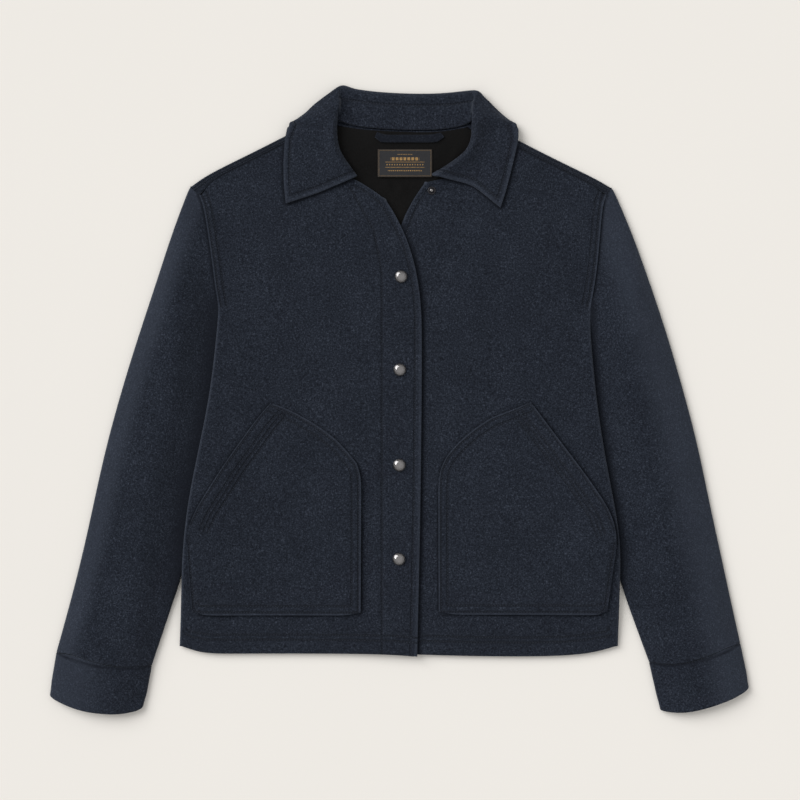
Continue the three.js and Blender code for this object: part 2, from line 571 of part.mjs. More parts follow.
// A closed ring of nodes round one row of a tube's plan, from its outer fold over the front and back again.
function tubeRing(row, crown) {
  const first = row[0];
  const last = row.at(-1);
  const across = last.clone().sub(first).normalize();
  const width = last.distanceTo(first);
  const low = WALL / 2;
  const high = low + WALL + GAP;
  const centre = (low + high) / 2;
  const inner = row.map((point) => {
    const share = point.clone().sub(first).dot(across) / width;
    return { point: point.clone().addScaledVector(across, EDGE_RADIUS * (1 - 2 * share)), share };
  });
  const front = inner.map(({ point, share }) => node(point.x, point.y,
    high + crown * Math.sin(Math.PI * share) ** 2));
  const back = inner.map(({ point }) => node(point.x, point.y, low, UP.clone().negate())).reverse();
  const foldNodes = (from, direction) => TUBE_FOLD_ANGLES.map((angle) => {
    const out = direction * Math.sin(angle);
    const normal = new THREE.Vector3(across.x * out, across.y * out, Math.cos(angle));
    return node(from.point.x + across.x * out * MID_RADIUS, from.point.y + across.y * out * MID_RADIUS,
      centre + MID_RADIUS * Math.cos(angle), normal);
  });
  return [...front, ...foldNodes(inner.at(-1), 1), ...back, ...foldNodes(inner[0], -1).reverse()];
}

// Moves a line of points square to its own run, towards a given direction.
function moved(points, distance, towards) {
  return points.map((point, i) => {
    const before = points[Math.max(i - 1, 0)];
    const after = points[Math.min(i + 1, points.length - 1)];
    const normal = new THREE.Vector2(-(after.y - before.y), after.x - before.x).normalize();
    if (normal.dot(towards) < 0) normal.negate();
    return point.clone().addScaledVector(normal, distance);
  });
}

function sleeve({ outer, inner, seam }, armhole, shoulder, outwards) {
  const tip = new THREE.Vector2(shoulder[0].x, shoulder[0].y);
  const seamLine = [tip, ...toVectors(armhole).reverse()];
  const head = moved(seamLine, SEAM, new THREE.Vector2(outwards, -0.4));
  const columnShares = lengthShares(head);
  const rowShares = evenShares(SLEEVE_RINGS);
  const end = sampled(seam, columnShares);
  const plan = patch(head, end, sampled([[head[0].x, head[0].y], ...outer.slice(1)], rowShares),
    sampled([[head.at(-1).x, head.at(-1).y], ...inner.slice(1)], rowShares), columnShares, rowShares);
  const rings = plan.map((row, r) => tubeRing(row, SLEEVE_CROWN * Math.sin(Math.PI * rowShares[r])));
  return wallFromGrid(rings, WALL, true);
}

function cuff({ seam, hem }) {
  const columnShares = evenShares(seam.length + 2);
  const rowShares = evenShares(CUFF_RINGS);
  const start = moved(sampled(seam, columnShares), SEAM, new THREE.Vector2(0, -1));
  const end = sampled(hem, columnShares);
  const side = (from, to) => rowShares.map((share) => from.clone().lerp(to, share));
  const plan = patch(start, end, side(start[0], end[0]), side(start.at(-1), end.at(-1)), columnShares,
    rowShares);
  return wallFromGrid(plan.map((row, r) => tubeRing(row, CUFF_CROWN * rowShares[r])), WALL, true);
}

// Pockets, lining, loop and label, each laid on what is below it
function sidedPatch({ bottom, top, first, last }, columns, rows) {
  const columnShares = evenShares(columns);
  const rowShares = evenShares(rows);
  return patch(sampled(bottom, columnShares), sampled(top, columnShares), sampled(first, rowShares),
    sampled(last, rowShares), columnShares, rowShares);
}

function pocket({ bottom, inside, top, opening }, below) {
  const plan = sidedPatch({ bottom, top, first: opening, last: inside }, POCKET_COLUMNS, POCKET_ROWS);
  return layer(plan, WALL, (x, y) => frontTop(x, y) + SEAM, below);
}

const liningUnderside = (x, y) => backUnderside(x, y) + WALL + SEAM;
const onLining = (x, y) => liningUnderside(x, y) + LINING_WALL + SEAM;

function liningBack(below) {
  const bottom = [LINING.right[0], LINING.left[0]];
  const plan = sidedPatch({ bottom, top: LINING.top, first: LINING.right, last: LINING.left }, LINING.columns,
    LINING.rows);
  return layer(plan, LINING_WALL, liningUnderside, below);
}

function hangerLoop(below) {
  const shares = evenShares(2 * LOOP_TOP.length - 1);
  const plan = [sampled(LOOP_BOTTOM, shares), sampled(LOOP_TOP, shares)];
  return layer(plan, LOOP_WALL, onLining, below);
}

function label(below) {
  const ys = evenShares(LABEL.rows).map((share) => THREE.MathUtils.lerp(...LABEL.y, share));
  const xs = evenShares(LABEL.columns).map((share) => THREE.MathUtils.lerp(...LABEL.x, share));
  return layer(ys.map((y) => xs.map((x) => new THREE.Vector2(x, y))), LABEL_WALL, onLining, below);
}

// The collar, one band of stand and fall
const HALF_COLLAR = COLLAR_WALL / 2;

// The middle line of one section, from the neck seam over the roll to the free edge.
function collarSection(row) {
  const corners = [row.seam, row.roll, row.turn, row.edge];
  const [seam, roll, turn, edge] = corners.map(([x, y]) => new THREE.Vector2(x, y));
  const standward = roll.clone().sub(seam).normalize();
  const fallward = turn.clone().sub(roll).normalize();
  const bend = HALF_COLLAR + ROLL_RADIUS * row.ridge;
  const at = (plan, z) => new THREE.Vector3(plan.x, plan.y, z);
  const onBack = backUnderside(seam.x, seam.y) + HALF_COLLAR + SEAM;
  const onFront = frontUnderside(seam.x, seam.y) + HALF_COLLAR + STAND_CLEAR;
  const beforeRoll = roll.clone().addScaledVector(standward, -bend);
  const onRoll = roll.clone().addScaledVector(fallward.clone().sub(standward), HALF_COLLAR / 2 * row.ridge);
  const afterRoll = roll.clone().addScaledVector(fallward, bend);
  const start = at(seam, THREE.MathUtils.lerp(onBack, onFront, ramp(0, 1, row.ridge)));
  const before = at(beforeRoll, row.rollZ - 2 * ROLL_RADIUS * row.ridge);
  const line = [start, start.clone().lerp(before, 0.5), before];
  line.push(at(onRoll, row.rollZ - ROLL_RADIUS * row.ridge), at(afterRoll, row.rollZ));
  const rest = (x, y, z) => Math.max(z, frontTop(x, y) + SEAM + HALF_COLLAR);
  if (!row.turned) {
    for (const [from, to, share] of [[afterRoll, turn, 0.5], [afterRoll, turn, 1], [turn, edge, 0.35],
      [turn, edge, 0.7], [turn, edge, 0.85], [turn, edge, 1]]) {
      const plan = from.clone().lerp(to, share);
      const fall = to === turn ? ramp(0, 1.2, share) : 1;
      line.push(at(plan, rest(plan.x, plan.y, THREE.MathUtils.lerp(row.rollZ, 0, fall))));
    }
    return line;
  }
  const turnRadius = (row.turnZ - HALF_COLLAR) / 2;
  const foldStart = turn.clone().addScaledVector(fallward, -(HALF_COLLAR + turnRadius));
  const foldTip = turn.clone().addScaledVector(fallward, -HALF_COLLAR);
  line.push(at(afterRoll.clone().lerp(foldStart, 0.5), THREE.MathUtils.lerp(row.rollZ, row.turnZ, 0.5)));
  line.push(at(foldStart, row.turnZ), at(foldTip, HALF_COLLAR + turnRadius), at(foldStart, HALF_COLLAR));
  line.push(at(foldStart.clone().lerp(edge, 0.5), HALF_COLLAR), at(edge, HALF_COLLAR));
  return line;
}

const LAST_ROLL_NODE = 4; // of a section

function collar(below) {
  const lines = COLLAR.map(collarSection);
  const grid = lines.map((line, r) => line.map((point, c) => {
    const beforeRow = lines[Math.max(r - 1, 0)][c];
    const afterRow = lines[Math.min(r + 1, lines.length - 1)][c];
    const along = afterRow.clone().sub(beforeRow);
    const across = line[Math.min(c + 1, line.length - 1)].clone().sub(line[Math.max(c - 1, 0)]);
    const loose = !COLLAR[r].turned && c > LAST_ROLL_NODE;
    return { point, normal: across.cross(along).normalize(), loose };
  }));
  return settle(grid, COLLAR_WALL, below, ({ loose }) => loose);
}

// Snaps, turned round their axis
function turned(profile, sides) {
  const geometry = new THREE.LatheGeometry(profile.map(([radius, height]) => new THREE.Vector2(radius,
    height)), sides);
  return geometry.rotateX(Math.PI / 2);
}

function snapCap() {
  const { radius, rim, height, flat, sides } = CAP;
  return turned([[0, 0], [radius, 0], [radius, rim], [radius * 0.8, height * 0.72], [flat, height], [0,
    height]], sides);
}

function snapStud() {
  const { baseRadius, baseHeight, postRadius, height, sides } = STUD;
  const waist = postRadius * 0.8;
  return turned([[0, 0], [baseRadius, 0], [baseRadius, baseHeight], [waist, baseHeight], [waist,
    height * 0.6],
    [postRadius, height * 0.8], [waist, height], [0, height]], sides);
}

// The jacket
const jacket = new THREE.Group();

function add(name, geometry, colour, roughness = 0.95, metalness = 0) {
  const material = new THREE.MeshStandardMaterial({ color: colour, roughness, metalness });
  const mesh = new THREE.Mesh(geometry, material);
  mesh.name = name;
  jacket.add(mesh);
  return mesh;
}

const grids = { back: backPanel() };
const onBack = topOf(grids.back, WALL);
grids.lining = liningBack([onBack]);
const onLiningTop = topOf(grids.lining, LINING_WALL);
grids.frontLeft = settle(frontPanel({ border: BORDER_LEFT, outwards: 1, armhole: ARMHOLE_LEFT,
  shoulder: SHOULDER_LEFT, neck: NECK_LEFT, edge: EDGE_LEFT, hem: HEM_LEFT, lift: () => 0 }), WALL,
    [onLiningTop]);
const onFrontLeft = topOf(grids.frontLeft, WALL);
grids.frontRight = settle(frontPanel({ border: BORDER_RIGHT, outwards: -1, armhole: ARMHOLE_RIGHT,
  shoulder: SHOULDER_RIGHT, neck: NECK_RIGHT, edge: EDGE_RIGHT, hem: HEM_RIGHT, lift: lapLift }), WALL,
[onLiningTop, onFrontLeft]);
const onFrontRight = topOf(grids.frontRight, WALL);

const sheet = (name, grid, wall, colour, roughness) => add(name, wallFromGrid(grid, wall), colour, roughness);
sheet('back', grids.back, WALL, COLOURS.wool);
sheet('front_right', grids.frontRight, WALL, COLOURS.wool);
sheet('front_left', grids.frontLeft, WALL, COLOURS.wool);
add('sleeve_right', sleeve(SLEEVE_RIGHT, ARMHOLE_RIGHT, SHOULDER_RIGHT, -1), COLOURS.woolLit);
add('sleeve_left', sleeve(SLEEVE_LEFT, ARMHOLE_LEFT, SHOULDER_LEFT, 1), COLOURS.woolLit);
add('cuff_right', cuff(SLEEVE_RIGHT), COLOURS.woolLit);
add('cuff_left', cuff(SLEEVE_LEFT), COLOURS.woolLit);
sheet('collar', collar([onFrontRight, onFrontLeft, onBack]), COLLAR_WALL, COLOURS.collar);
sheet('pocket_right', pocket(POCKET_RIGHT, [onFrontRight]), WALL, COLOURS.wool);
sheet('pocket_left', pocket(POCKET_LEFT, [onFrontLeft]), WALL, COLOURS.wool);
sheet('lining_back', grids.lining, LINING_WALL, COLOURS.lining, 0.7);
sheet('hanger_loop', hangerLoop([onLiningTop]), LOOP_WALL, COLOURS.wool);
sheet('label', label([onLiningTop]), LABEL_WALL, COLOURS.lining, 0.8);

// The height at which a round base of a given radius clears a panel.
function seat(top, x, y, radius) {
  const turns = evenShares(9).map((share) => share * 2 * Math.PI);
  const round = turns.flatMap((angle) => [0.5, 1].map((share) => (
    top(x + share * radius * Math.cos(angle), y + share * radius * Math.sin(angle)))));
  return Math.max(top(x, y), ...round) + SEAM;
}

CAPS.forEach(([x, y], i) => {
  const cap = add(`snap_cap_${i + 1}`, snapCap(), COLOURS.metal, 0.3, 1);
  cap.position.set(x, y, seat(onFrontRight, x, y, CAP.radius));
});
const stud = add('snap_stud', snapStud(), COLOURS.metal, 0.35, 1);
stud.position.set(...STUD_AT, seat(onFrontLeft, ...STUD_AT, STUD.baseRadius));

export default jacket;
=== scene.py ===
"""Visual model of a cropped wool jacket with snaps, laid flat with its front up.

Lengths in the tables are millimetres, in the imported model's frame: +Z up, +Y towards the collar.
Left and right are the wearer's, so the right side is at -X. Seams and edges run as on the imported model.
"""
import logging
import math
from dataclasses import dataclass, field, replace
from enum import Enum
from typing import Callable, Sequence

import bmesh
import bpy
import numpy as np
from mathutils import Matrix, Vector
from mathutils.bvhtree import BVHTree


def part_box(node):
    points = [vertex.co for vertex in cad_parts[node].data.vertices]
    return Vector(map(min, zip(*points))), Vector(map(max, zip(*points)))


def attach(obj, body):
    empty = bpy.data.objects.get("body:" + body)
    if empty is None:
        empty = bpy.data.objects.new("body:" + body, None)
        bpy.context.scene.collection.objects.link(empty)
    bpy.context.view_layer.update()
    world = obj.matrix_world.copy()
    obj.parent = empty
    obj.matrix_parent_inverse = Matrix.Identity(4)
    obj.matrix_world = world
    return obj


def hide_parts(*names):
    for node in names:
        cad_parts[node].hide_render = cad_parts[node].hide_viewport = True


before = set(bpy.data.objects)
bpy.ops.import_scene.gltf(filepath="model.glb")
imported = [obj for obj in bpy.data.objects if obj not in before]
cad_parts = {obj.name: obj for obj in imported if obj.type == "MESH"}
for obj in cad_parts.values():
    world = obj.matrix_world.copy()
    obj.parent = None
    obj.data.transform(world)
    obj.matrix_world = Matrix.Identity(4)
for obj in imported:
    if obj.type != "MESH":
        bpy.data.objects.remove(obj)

MM = 0.001
ROWS = 7  # stitched rows that a piece can carry in its attributes
FAR = 99.0  # distance written where a piece has no such row
log = logging.getLogger("jacket")

Array = np.ndarray
Material = bpy.types.Material
Mesh = bpy.types.Mesh
Object = bpy.types.Object
Socket = bpy.types.NodeSocket
Pair = tuple[float, float]
Triple = tuple[float, float, float]
Points = Sequence[Pair]
Lift = Callable[[Array, Array], Array]  # heights to add, from places in plan and heights
Shift = Callable[[Array], Array]  # steps in plan, from places there


class Slot(Enum):
    """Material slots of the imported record."""

    WOOL = "wool"
    LINING = "lining"
    LABEL = "label"
    SNAP = "snap"


class Face(Enum):
    """The side of a piece that a row of stitches shows on."""

    TOP = 1
    UNDER = -1


# Seam lines and edges

SIDE_RIGHT: Points = (
    (-259, -290), (-257.5, -255), (-256.5, -216), (-255, -175), (-250.5, -132), (-243, -90),
    (-233.5, -45), (-224.5, 0), (-219, 40), (-215.5, 75), (-213, 110),
)
SIDE_LEFT: Points = (
    (257.5, -290), (258.5, -255), (259.5, -216), (260.5, -175), (255, -132), (246.5, -90), (238.5, -45),
    (232, 0), (228, 40), (225, 75), (225, 110),
)
ARMHOLE_RIGHT: Points = (
    (-213, 110), (-217, 133), (-220, 158), (-224, 186), (-227.5, 210), (-231, 229), (-236, 241.5),
)
ARMHOLE_LEFT: Points = (
    (225, 110), (229.5, 133), (233, 158), (235.5, 186), (237.5, 210), (239.5, 229), (244, 242),
)
SHOULDER_RIGHT: Points = ((-240, 244), (-221, 258.5), (-172, 283), (-115, 311.5), (-84, 327))
SHOULDER_LEFT: Points = ((246, 244), (226, 254), (176.5, 278), (119.5, 307), (90, 323))
NECK_RIGHT: Points = ((-50, 259.5), (-61, 261), (-72.5, 274), (-82, 292.5), (-86, 309), (-84, 327))
NECK_LEFT: Points = ((30, 257), (47, 258.5), (65, 265.5), (81, 276), (92.5, 290), (96, 307), (90, 323))
EDGE_RIGHT: Points = (
    (21, -302), (22.5, -236), (24.5, -141), (26, -21), (26.5, 65), (26.5, 102), (24.5, 130), (19.5, 158),
    (11.5, 186.5), (0.5, 210), (-16, 237), (-33, 251), (-50, 259.5),
)
EDGE_LEFT: Points = (
    (-23, -298.5), (-22, -118), (-20.5, 71), (-16, 130), (-7.5, 177), (4, 213.5), (13.5, 235), (22, 248),
    (30, 257),
)
HEM_RIGHT: Points = (
    (-259, -290), (-249, -295), (-227, -298.5), (-117.5, -298.5), (-8.5, -299.5), (21, -302),
)
HEM_LEFT: Points = (
    (-23, -298.5), (85.5, -301.5), (151.5, -302), (195.5, -301), (228.5, -297.5), (251, -293.5),
    (257.5, -290),
)
HEM_BACK: Points = (
    (-259, -290), (-249, -294), (-225, -297), (-117, -297.5), (0, -298.5), (117, -300), (195, -299.5),
    (228, -296.5), (251, -293), (257.5, -290),
)
PLACKET: Points = ((-20.5, -299), (-20.5, 150), (-30, 200), (-58, 250))

POCKET_RIGHT_EDGE: Points = (
    (-244, -248), (-236, -252.8), (-142, -253.3), (-60, -253.3), (-48.5, -253.3), (-45.5, -250),
    (-45.2, -175), (-45, -99), (-46, -85.5), (-50, -74.5), (-59, -63.5), (-74, -47), (-96, -30.5),
    (-118, -17.5), (-135.5, -9), (-151.5, -3.5),
)
POCKET_RIGHT_OPENING: Points = (
    (-151.5, -3.5), (-166, -20), (-205, -74.5), (-237, -125), (-247, -146), (-250.5, -163), (-249, -190),
    (-244, -248),
)
POCKET_LEFT_EDGE: Points = (
    (154.5, -2.5), (143, -7.5), (130, -12.5), (108, -21), (86.5, -35.5), (69, -50.5), (55.5, -66),
    (48, -81.5), (46, -99), (46, -175), (46.3, -249), (49.5, -252.3), (60, -252.5), (142, -252.5),
    (238, -252.5), (244, -248),
)
POCKET_LEFT_OPENING: Points = (
    (244, -248), (251, -200), (256, -168.5), (255, -152), (245.5, -127), (217, -85.5), (190.5, -50.5),
    (154.5, -2.5),
)
COLLAR_RIGHT_EDGE: Points = (
    (-49, 263), (-96, 243.5), (-133.5, 231), (-136, 252), (-136.5, 280), (-134.5, 309), (-128, 325),
)
COLLAR_LEFT_EDGE: Points = (
    (136, 324), (140.5, 309), (136, 289), (131, 267), (125.5, 246), (119, 226), (86, 253), (37, 265),
)
COLLAR_TURN: Points = (
    (-69, 369), (-52, 366.5), (-25, 363), (8, 361.2), (39, 361), (64, 362.5), (84, 365.5),
)

ARM_RIGHT_OUTER: Points = (
    (-247.5, 251.5), (-259, 223), (-273, 181.5), (-289.5, 130), (-307.5, 76.5), (-327.5, 12),
    (-346, -55.5), (-359, -113.5), (-372, -174.5), (-388.5, -239.5), (-404.5, -297), (-414, -352),
)
ARM_RIGHT_INNER: Points = (
    (-213.4, 110), (-214, 96), (-216.2, 78), (-218, 58), (-211, 24), (-214, -21), (-225, -88),
    (-239.5, -144), (-254, -200.5), (-272.5, -256), (-291.5, -313), (-302, -367),
)
ARM_LEFT_OUTER: Points = (
    (251.5, 250), (264, 223), (280, 181.5), (298, 130), (316, 76.5), (334.5, 12), (352.5, -55.5),
    (364, -113.5), (377.5, -174.5), (391.5, -239.5), (402, -286.5), (414, -342),
)
ARM_LEFT_INNER: Points = (
    (225.4, 110), (225.6, 96), (226, 78), (227.5, 58), (219.5, 24), (222.5, -21), (233, -88),
    (246, -153.5), (257.5, -206.5), (274.5, -256), (294, -309), (306, -369),
)
CUFF_RIGHT_HEM: Points = (
    (-413.5, -350), (-396, -358.5), (-371.5, -366), (-349, -369), (-325, -370), (-301, -365),
)
CUFF_RIGHT_SEAM: Points = (
    (-404.5, -297), (-386, -305), (-360, -312), (-330, -315), (-308, -316), (-291.5, -313),
)
CUFF_LEFT_SEAM: Points = (
    (402, -286.5), (385, -295.5), (360, -304.5), (330, -311), (308, -311.5), (294, -309),
)
CUFF_LEFT_HEM: Points = (
    (307, -367), (328, -369), (350, -365.5), (374, -358.5), (397, -350), (413.5, -340.5),
)


# Plan geometry, in millimetres


def smooth(value: Array, low: float, high: float) -> Array:
    """Returns 0 below low, 1 above high and a smooth step between."""
    share = np.clip((value - low) / (high - low), 0.0, 1.0)
    return share * share * (3.0 - 2.0 * share)


def fade(value: Array, low: float, high: float) -> Array:
    """Returns 1 below low, 0 above high and a smooth step between."""
    return 1.0 - smooth(value, low, high)


class Line:
    """An open line in plan, with its length, its inset copies and the distance of points to it."""

    SLACK = 0.12  # how much nearer than the inset a moved point may lie, mm

    def __init__(self, points: Points | Array) -> None:
        self.points = np.asarray(points, dtype=float)
        self.starts = self.points[:-1]
        self.spans = self.points[1:] - self.points[:-1]
        self.lengths = np.hypot(self.spans[:, 0], self.spans[:, 1])

    def resampled(self, pitch: float) -> "Line":
        """Returns the same line with a point about every pitch."""
        along = np.concatenate(([0.0], np.cumsum(self.lengths)))
        stations = np.linspace(0.0, along[-1], max(2, int(along[-1] / pitch) + 1))
        return Line(np.stack([np.interp(stations, along, self.points[:, i]) for i in (0, 1)], axis=1))

    def nearest(self, places: Array) -> tuple[Array, Array, Array]:
        """Measures points against the line.

        Args:
            places: an array of n points, two numbers each.

        Returns:
            The distance of each point, 1 where it lies left of the line's direction, else -1, and the unit
            vector that points left of the nearest stretch.
        """
        best = np.full(len(places), np.inf)
        left = np.ones(len(places))
        sideways = np.zeros((len(places), 2))
        for start, span, length in zip(self.starts, self.spans, self.lengths):
            if length < 1e-6:
                continue
            offset = places - start
            share = np.clip(offset @ span / length ** 2, 0.0, 1.0)
            apart = offset - share[:, None] * span
            squared = (apart ** 2).sum(axis=1)
            nearer = squared < best - 1e-9
            best = np.where(nearer, squared, best)
            turn = span[0] * offset[:, 1] - span[1] * offset[:, 0]
            left = np.where(nearer, np.sign(turn) + (turn == 0), left)
            sideways[nearer] = (-span[1] / length, span[0] / length)
        return np.sqrt(best), left, sideways

    def distance(self, places: Array) -> tuple[Array, Array]:
        """Returns the distance of each point, and 1 where it lies left of the line, else -1."""
        apart, left, _ = self.nearest(places)
        return apart, left

    def beyond(self, places: Array) -> Array:
        """Returns how far each point lies past the nearer end of the line, along its direction, else 0."""
        from_start = places - self.points[0]
        from_end = places - self.points[-1]
        before = -(from_start @ self.spans[0]) / self.lengths[0]
        after = (from_end @ self.spans[-1]) / self.lengths[-1]
        nearer_start = (from_start ** 2).sum(axis=1) < (from_end ** 2).sum(axis=1)
        return np.maximum(np.where(nearer_start, before, after), 0.0)

    def offset(self, inset: float, to_left: bool) -> Array:
        """Returns the points of the line moved sideways, without the parts that fold over at corners."""
        fine = self.resampled(1.0)
        ahead = np.gradient(fine.points, axis=0)
        ahead /= np.hypot(ahead[:, 0], ahead[:, 1])[:, None]
        sideways = np.stack([-ahead[:, 1], ahead[:, 0]], axis=1) * (1 if to_left else -1)
        moved = fine.points + sideways * inset
        apart, _ = self.distance(moved)
        return moved[apart > inset - self.SLACK]


class Outline:
    """A closed outline in plan, for the signed distance from it."""

    def __init__(self, *parts: Points) -> None:
        points = [tuple(point) for part in parts for point in part]
        self.line = Line(points + points[:1])

    def inward(self, places: Array) -> Array:
        """Returns the distance from the outline: above 0 inside, below 0 outside."""
        apart, _ = self.line.distance(places)
        inside = np.zeros(len(places), dtype=bool)
        x, y = places[:, 0], places[:, 1]
        for start, end in zip(self.line.points[:-1], self.line.points[1:]):
            crosses = (start[1] > y) != (end[1] > y)
            rise = end[1] - start[1]
            at = start[0] + (y - start[1]) * (end[0] - start[0]) / (rise if abs(rise) > 1e-9 else 1e-9)
            inside ^= crosses & (x < at)
        return np.where(inside, apart, -apart)


BODY = Outline(HEM_RIGHT[:-1], HEM_LEFT[1:], SIDE_LEFT, ARMHOLE_LEFT, SHOULDER_LEFT, NECK_LEFT[::-1],
               NECK_RIGHT, SHOULDER_RIGHT[::-1], ARMHOLE_RIGHT[::-1], SIDE_RIGHT[::-1])


@dataclass(frozen=True)
class Crease:
    """One soft ridge or trough of the cloth.

    Attributes:
        start, end: its two ends in plan, mm.
        height: how high it stands at its middle, below 0 for a trough, mm.
        width: distance from its middle line to where it has mostly faded, mm.
        bow: how far its middle bends to the left of its direction, mm.
        lean: 1 makes the flank on its left steeper than the other, 0 makes both alike.
    """

    start: Pair
    end: Pair
    height: float
    width: float
    bow: float = 0.0
    lean: float = 0.0

    def rise(self, places: Array) -> Array:
        """Returns how far the crease lifts each point of places."""
        start, end = np.array(self.start, dtype=float), np.array(self.end, dtype=float)
        length = np.hypot(*(end - start))
        along = (end - start) / length
        across = np.array([-along[1], along[0]])
        offset = places - start
        share = offset @ along / length
        inside = np.clip(share, 0.0, 1.0)
        side = offset @ across - self.bow * 4.0 * inside * (1.0 - inside)
        ends = smooth(share, -0.15, 0.35) * fade(share, 0.6, 1.15)
        width = self.width * np.where(side > 0, 1.0 - 0.5 * self.lean, 1.0 + 0.4 * self.lean)
        return self.height * ends * np.exp(-(side / width) ** 2 * 1.6)


def risen(creases: Sequence[Crease], places: Array) -> Array:
    """Returns the sum of all creases at each point of places."""
    total = np.zeros(len(places))
    for crease in creases:
        total += crease.rise(places)
    return total


@dataclass(frozen=True)
class SoftField:
    """Height of the soft forms that one layer of cloth takes, the same for all pieces sewn on it.

    Attributes:
        creases: the listed folds.
        fade: distance from the layer's outline over which everything fades in, mm.
        loft: how far the cloth stands up away from its outline, mm.
    """

    creases: tuple[Crease, ...]
    fade: float
    loft: float

    def over_body(self, places: Array) -> Array:
        """Returns the height at each point of places, fading out at the body's outline."""
        inward = BODY.inward(places)
        edge = smooth(inward, 0.0, self.fade)
        return edge * (self.loft * smooth(inward, 0.0, 90.0) + risen(self.creases, places))


@dataclass(frozen=True)
class ArmField:
    """Height of a sleeve and its cuff above their flat form.

    Attributes:
        outer, inner: the arm's two folds from the shoulder to the cuff's hem.
        crown: how far the middle stands up, mm.
        creases: the listed folds.
    """

    outer: Points
    inner: Points
    crown: float
    creases: tuple[Crease, ...]

    HEM = (-372.0, -290.0)  # y over which the crown is lower, mm
    HEM_LOSS = 0.45
    FULLNESS = 2.4  # 2 is a round cross section, more is flatter on top

    def share(self, places: Array) -> tuple[Array, Array]:
        """Returns each point's share of the way across the arm, and its distance from the nearer fold."""
        to_outer, _ = Line(self.outer).distance(places)
        to_inner, _ = Line(self.inner).distance(places)
        return to_outer / (to_outer + to_inner + 1e-6), np.minimum(to_outer, to_inner)

    def over_arm(self, places: Array) -> Array:
        """Returns the height of the upper layer at each point of places."""
        share, near = self.share(places)
        clear = smooth(-BODY.inward(places), 1.0, 52.0)
        hem = 1.0 - self.HEM_LOSS * fade(places[:, 1], *self.HEM)
        form = self.crown * (1.0 - np.abs(2.0 * np.clip(share, 0, 1) - 1.0) ** self.FULLNESS) * hem
        return clear * (form + smooth(near, 0.0, 16.0) * risen(self.creases, places))


# Materials


@dataclass(frozen=True)
class WoolFinish:
    """Milled wool: three fibre colours, the size of the flecks and how the nap stands."""

    ground: Triple = (0.0112, 0.0148, 0.0236)
    light: Triple = (0.0440, 0.0540, 0.0770)
    deep: Triple = (0.0030, 0.0042, 0.0080)
    fleck_mm: float = 1.15
    nap_mm: float = 0.16
    groove_mm: float = 1.0
    # How strongly painted shade darkens the stitch grooves and contact lines, and a painted highlight
    # lightens the rims
    groove_shade: float = 0.74
    contact_shade: float = 0.8
    rim_light: float = 0.3
    roughness: float = 0.95
    specular: float = 0.12
    sheen: float = 0.16
    sheen_roughness: float = 0.55
    sheen_tint: Triple = (0.62, 0.70, 0.86)


@dataclass(frozen=True)
class LiningFinish:
    """Smooth black lining."""

    ground: Triple = (0.0018, 0.0017, 0.0018)
    light: Triple = (0.0045, 0.0043, 0.0045)
    weave_mm: float = 0.7
    roughness: float = 0.55
    specular: float = 0.09


@dataclass(frozen=True)
class LabelFinish:
    """Woven label with a plain border, stripes and dots."""

    ground: Triple = (0.0110, 0.0115, 0.0140)
    lustre: Triple = (0.0160, 0.0170, 0.0210)
    yarn: Triple = (0.3600, 0.2150, 0.0750)
    border: Triple = (0.0300, 0.0230, 0.0170)
    centre: Pair = (6.5, 278.75)
    half: Pair = (32.0, 16.25)
    roughness: float = 0.8


@dataclass(frozen=True)
class SnapFinish:
    """Polished dark nickel, with painted shade on its rim and in its corners."""

    metal: Triple = (0.27, 0.265, 0.27)
    painted_shade: Triple = (0.02, 0.02, 0.024)
    roughness: float = 0.15


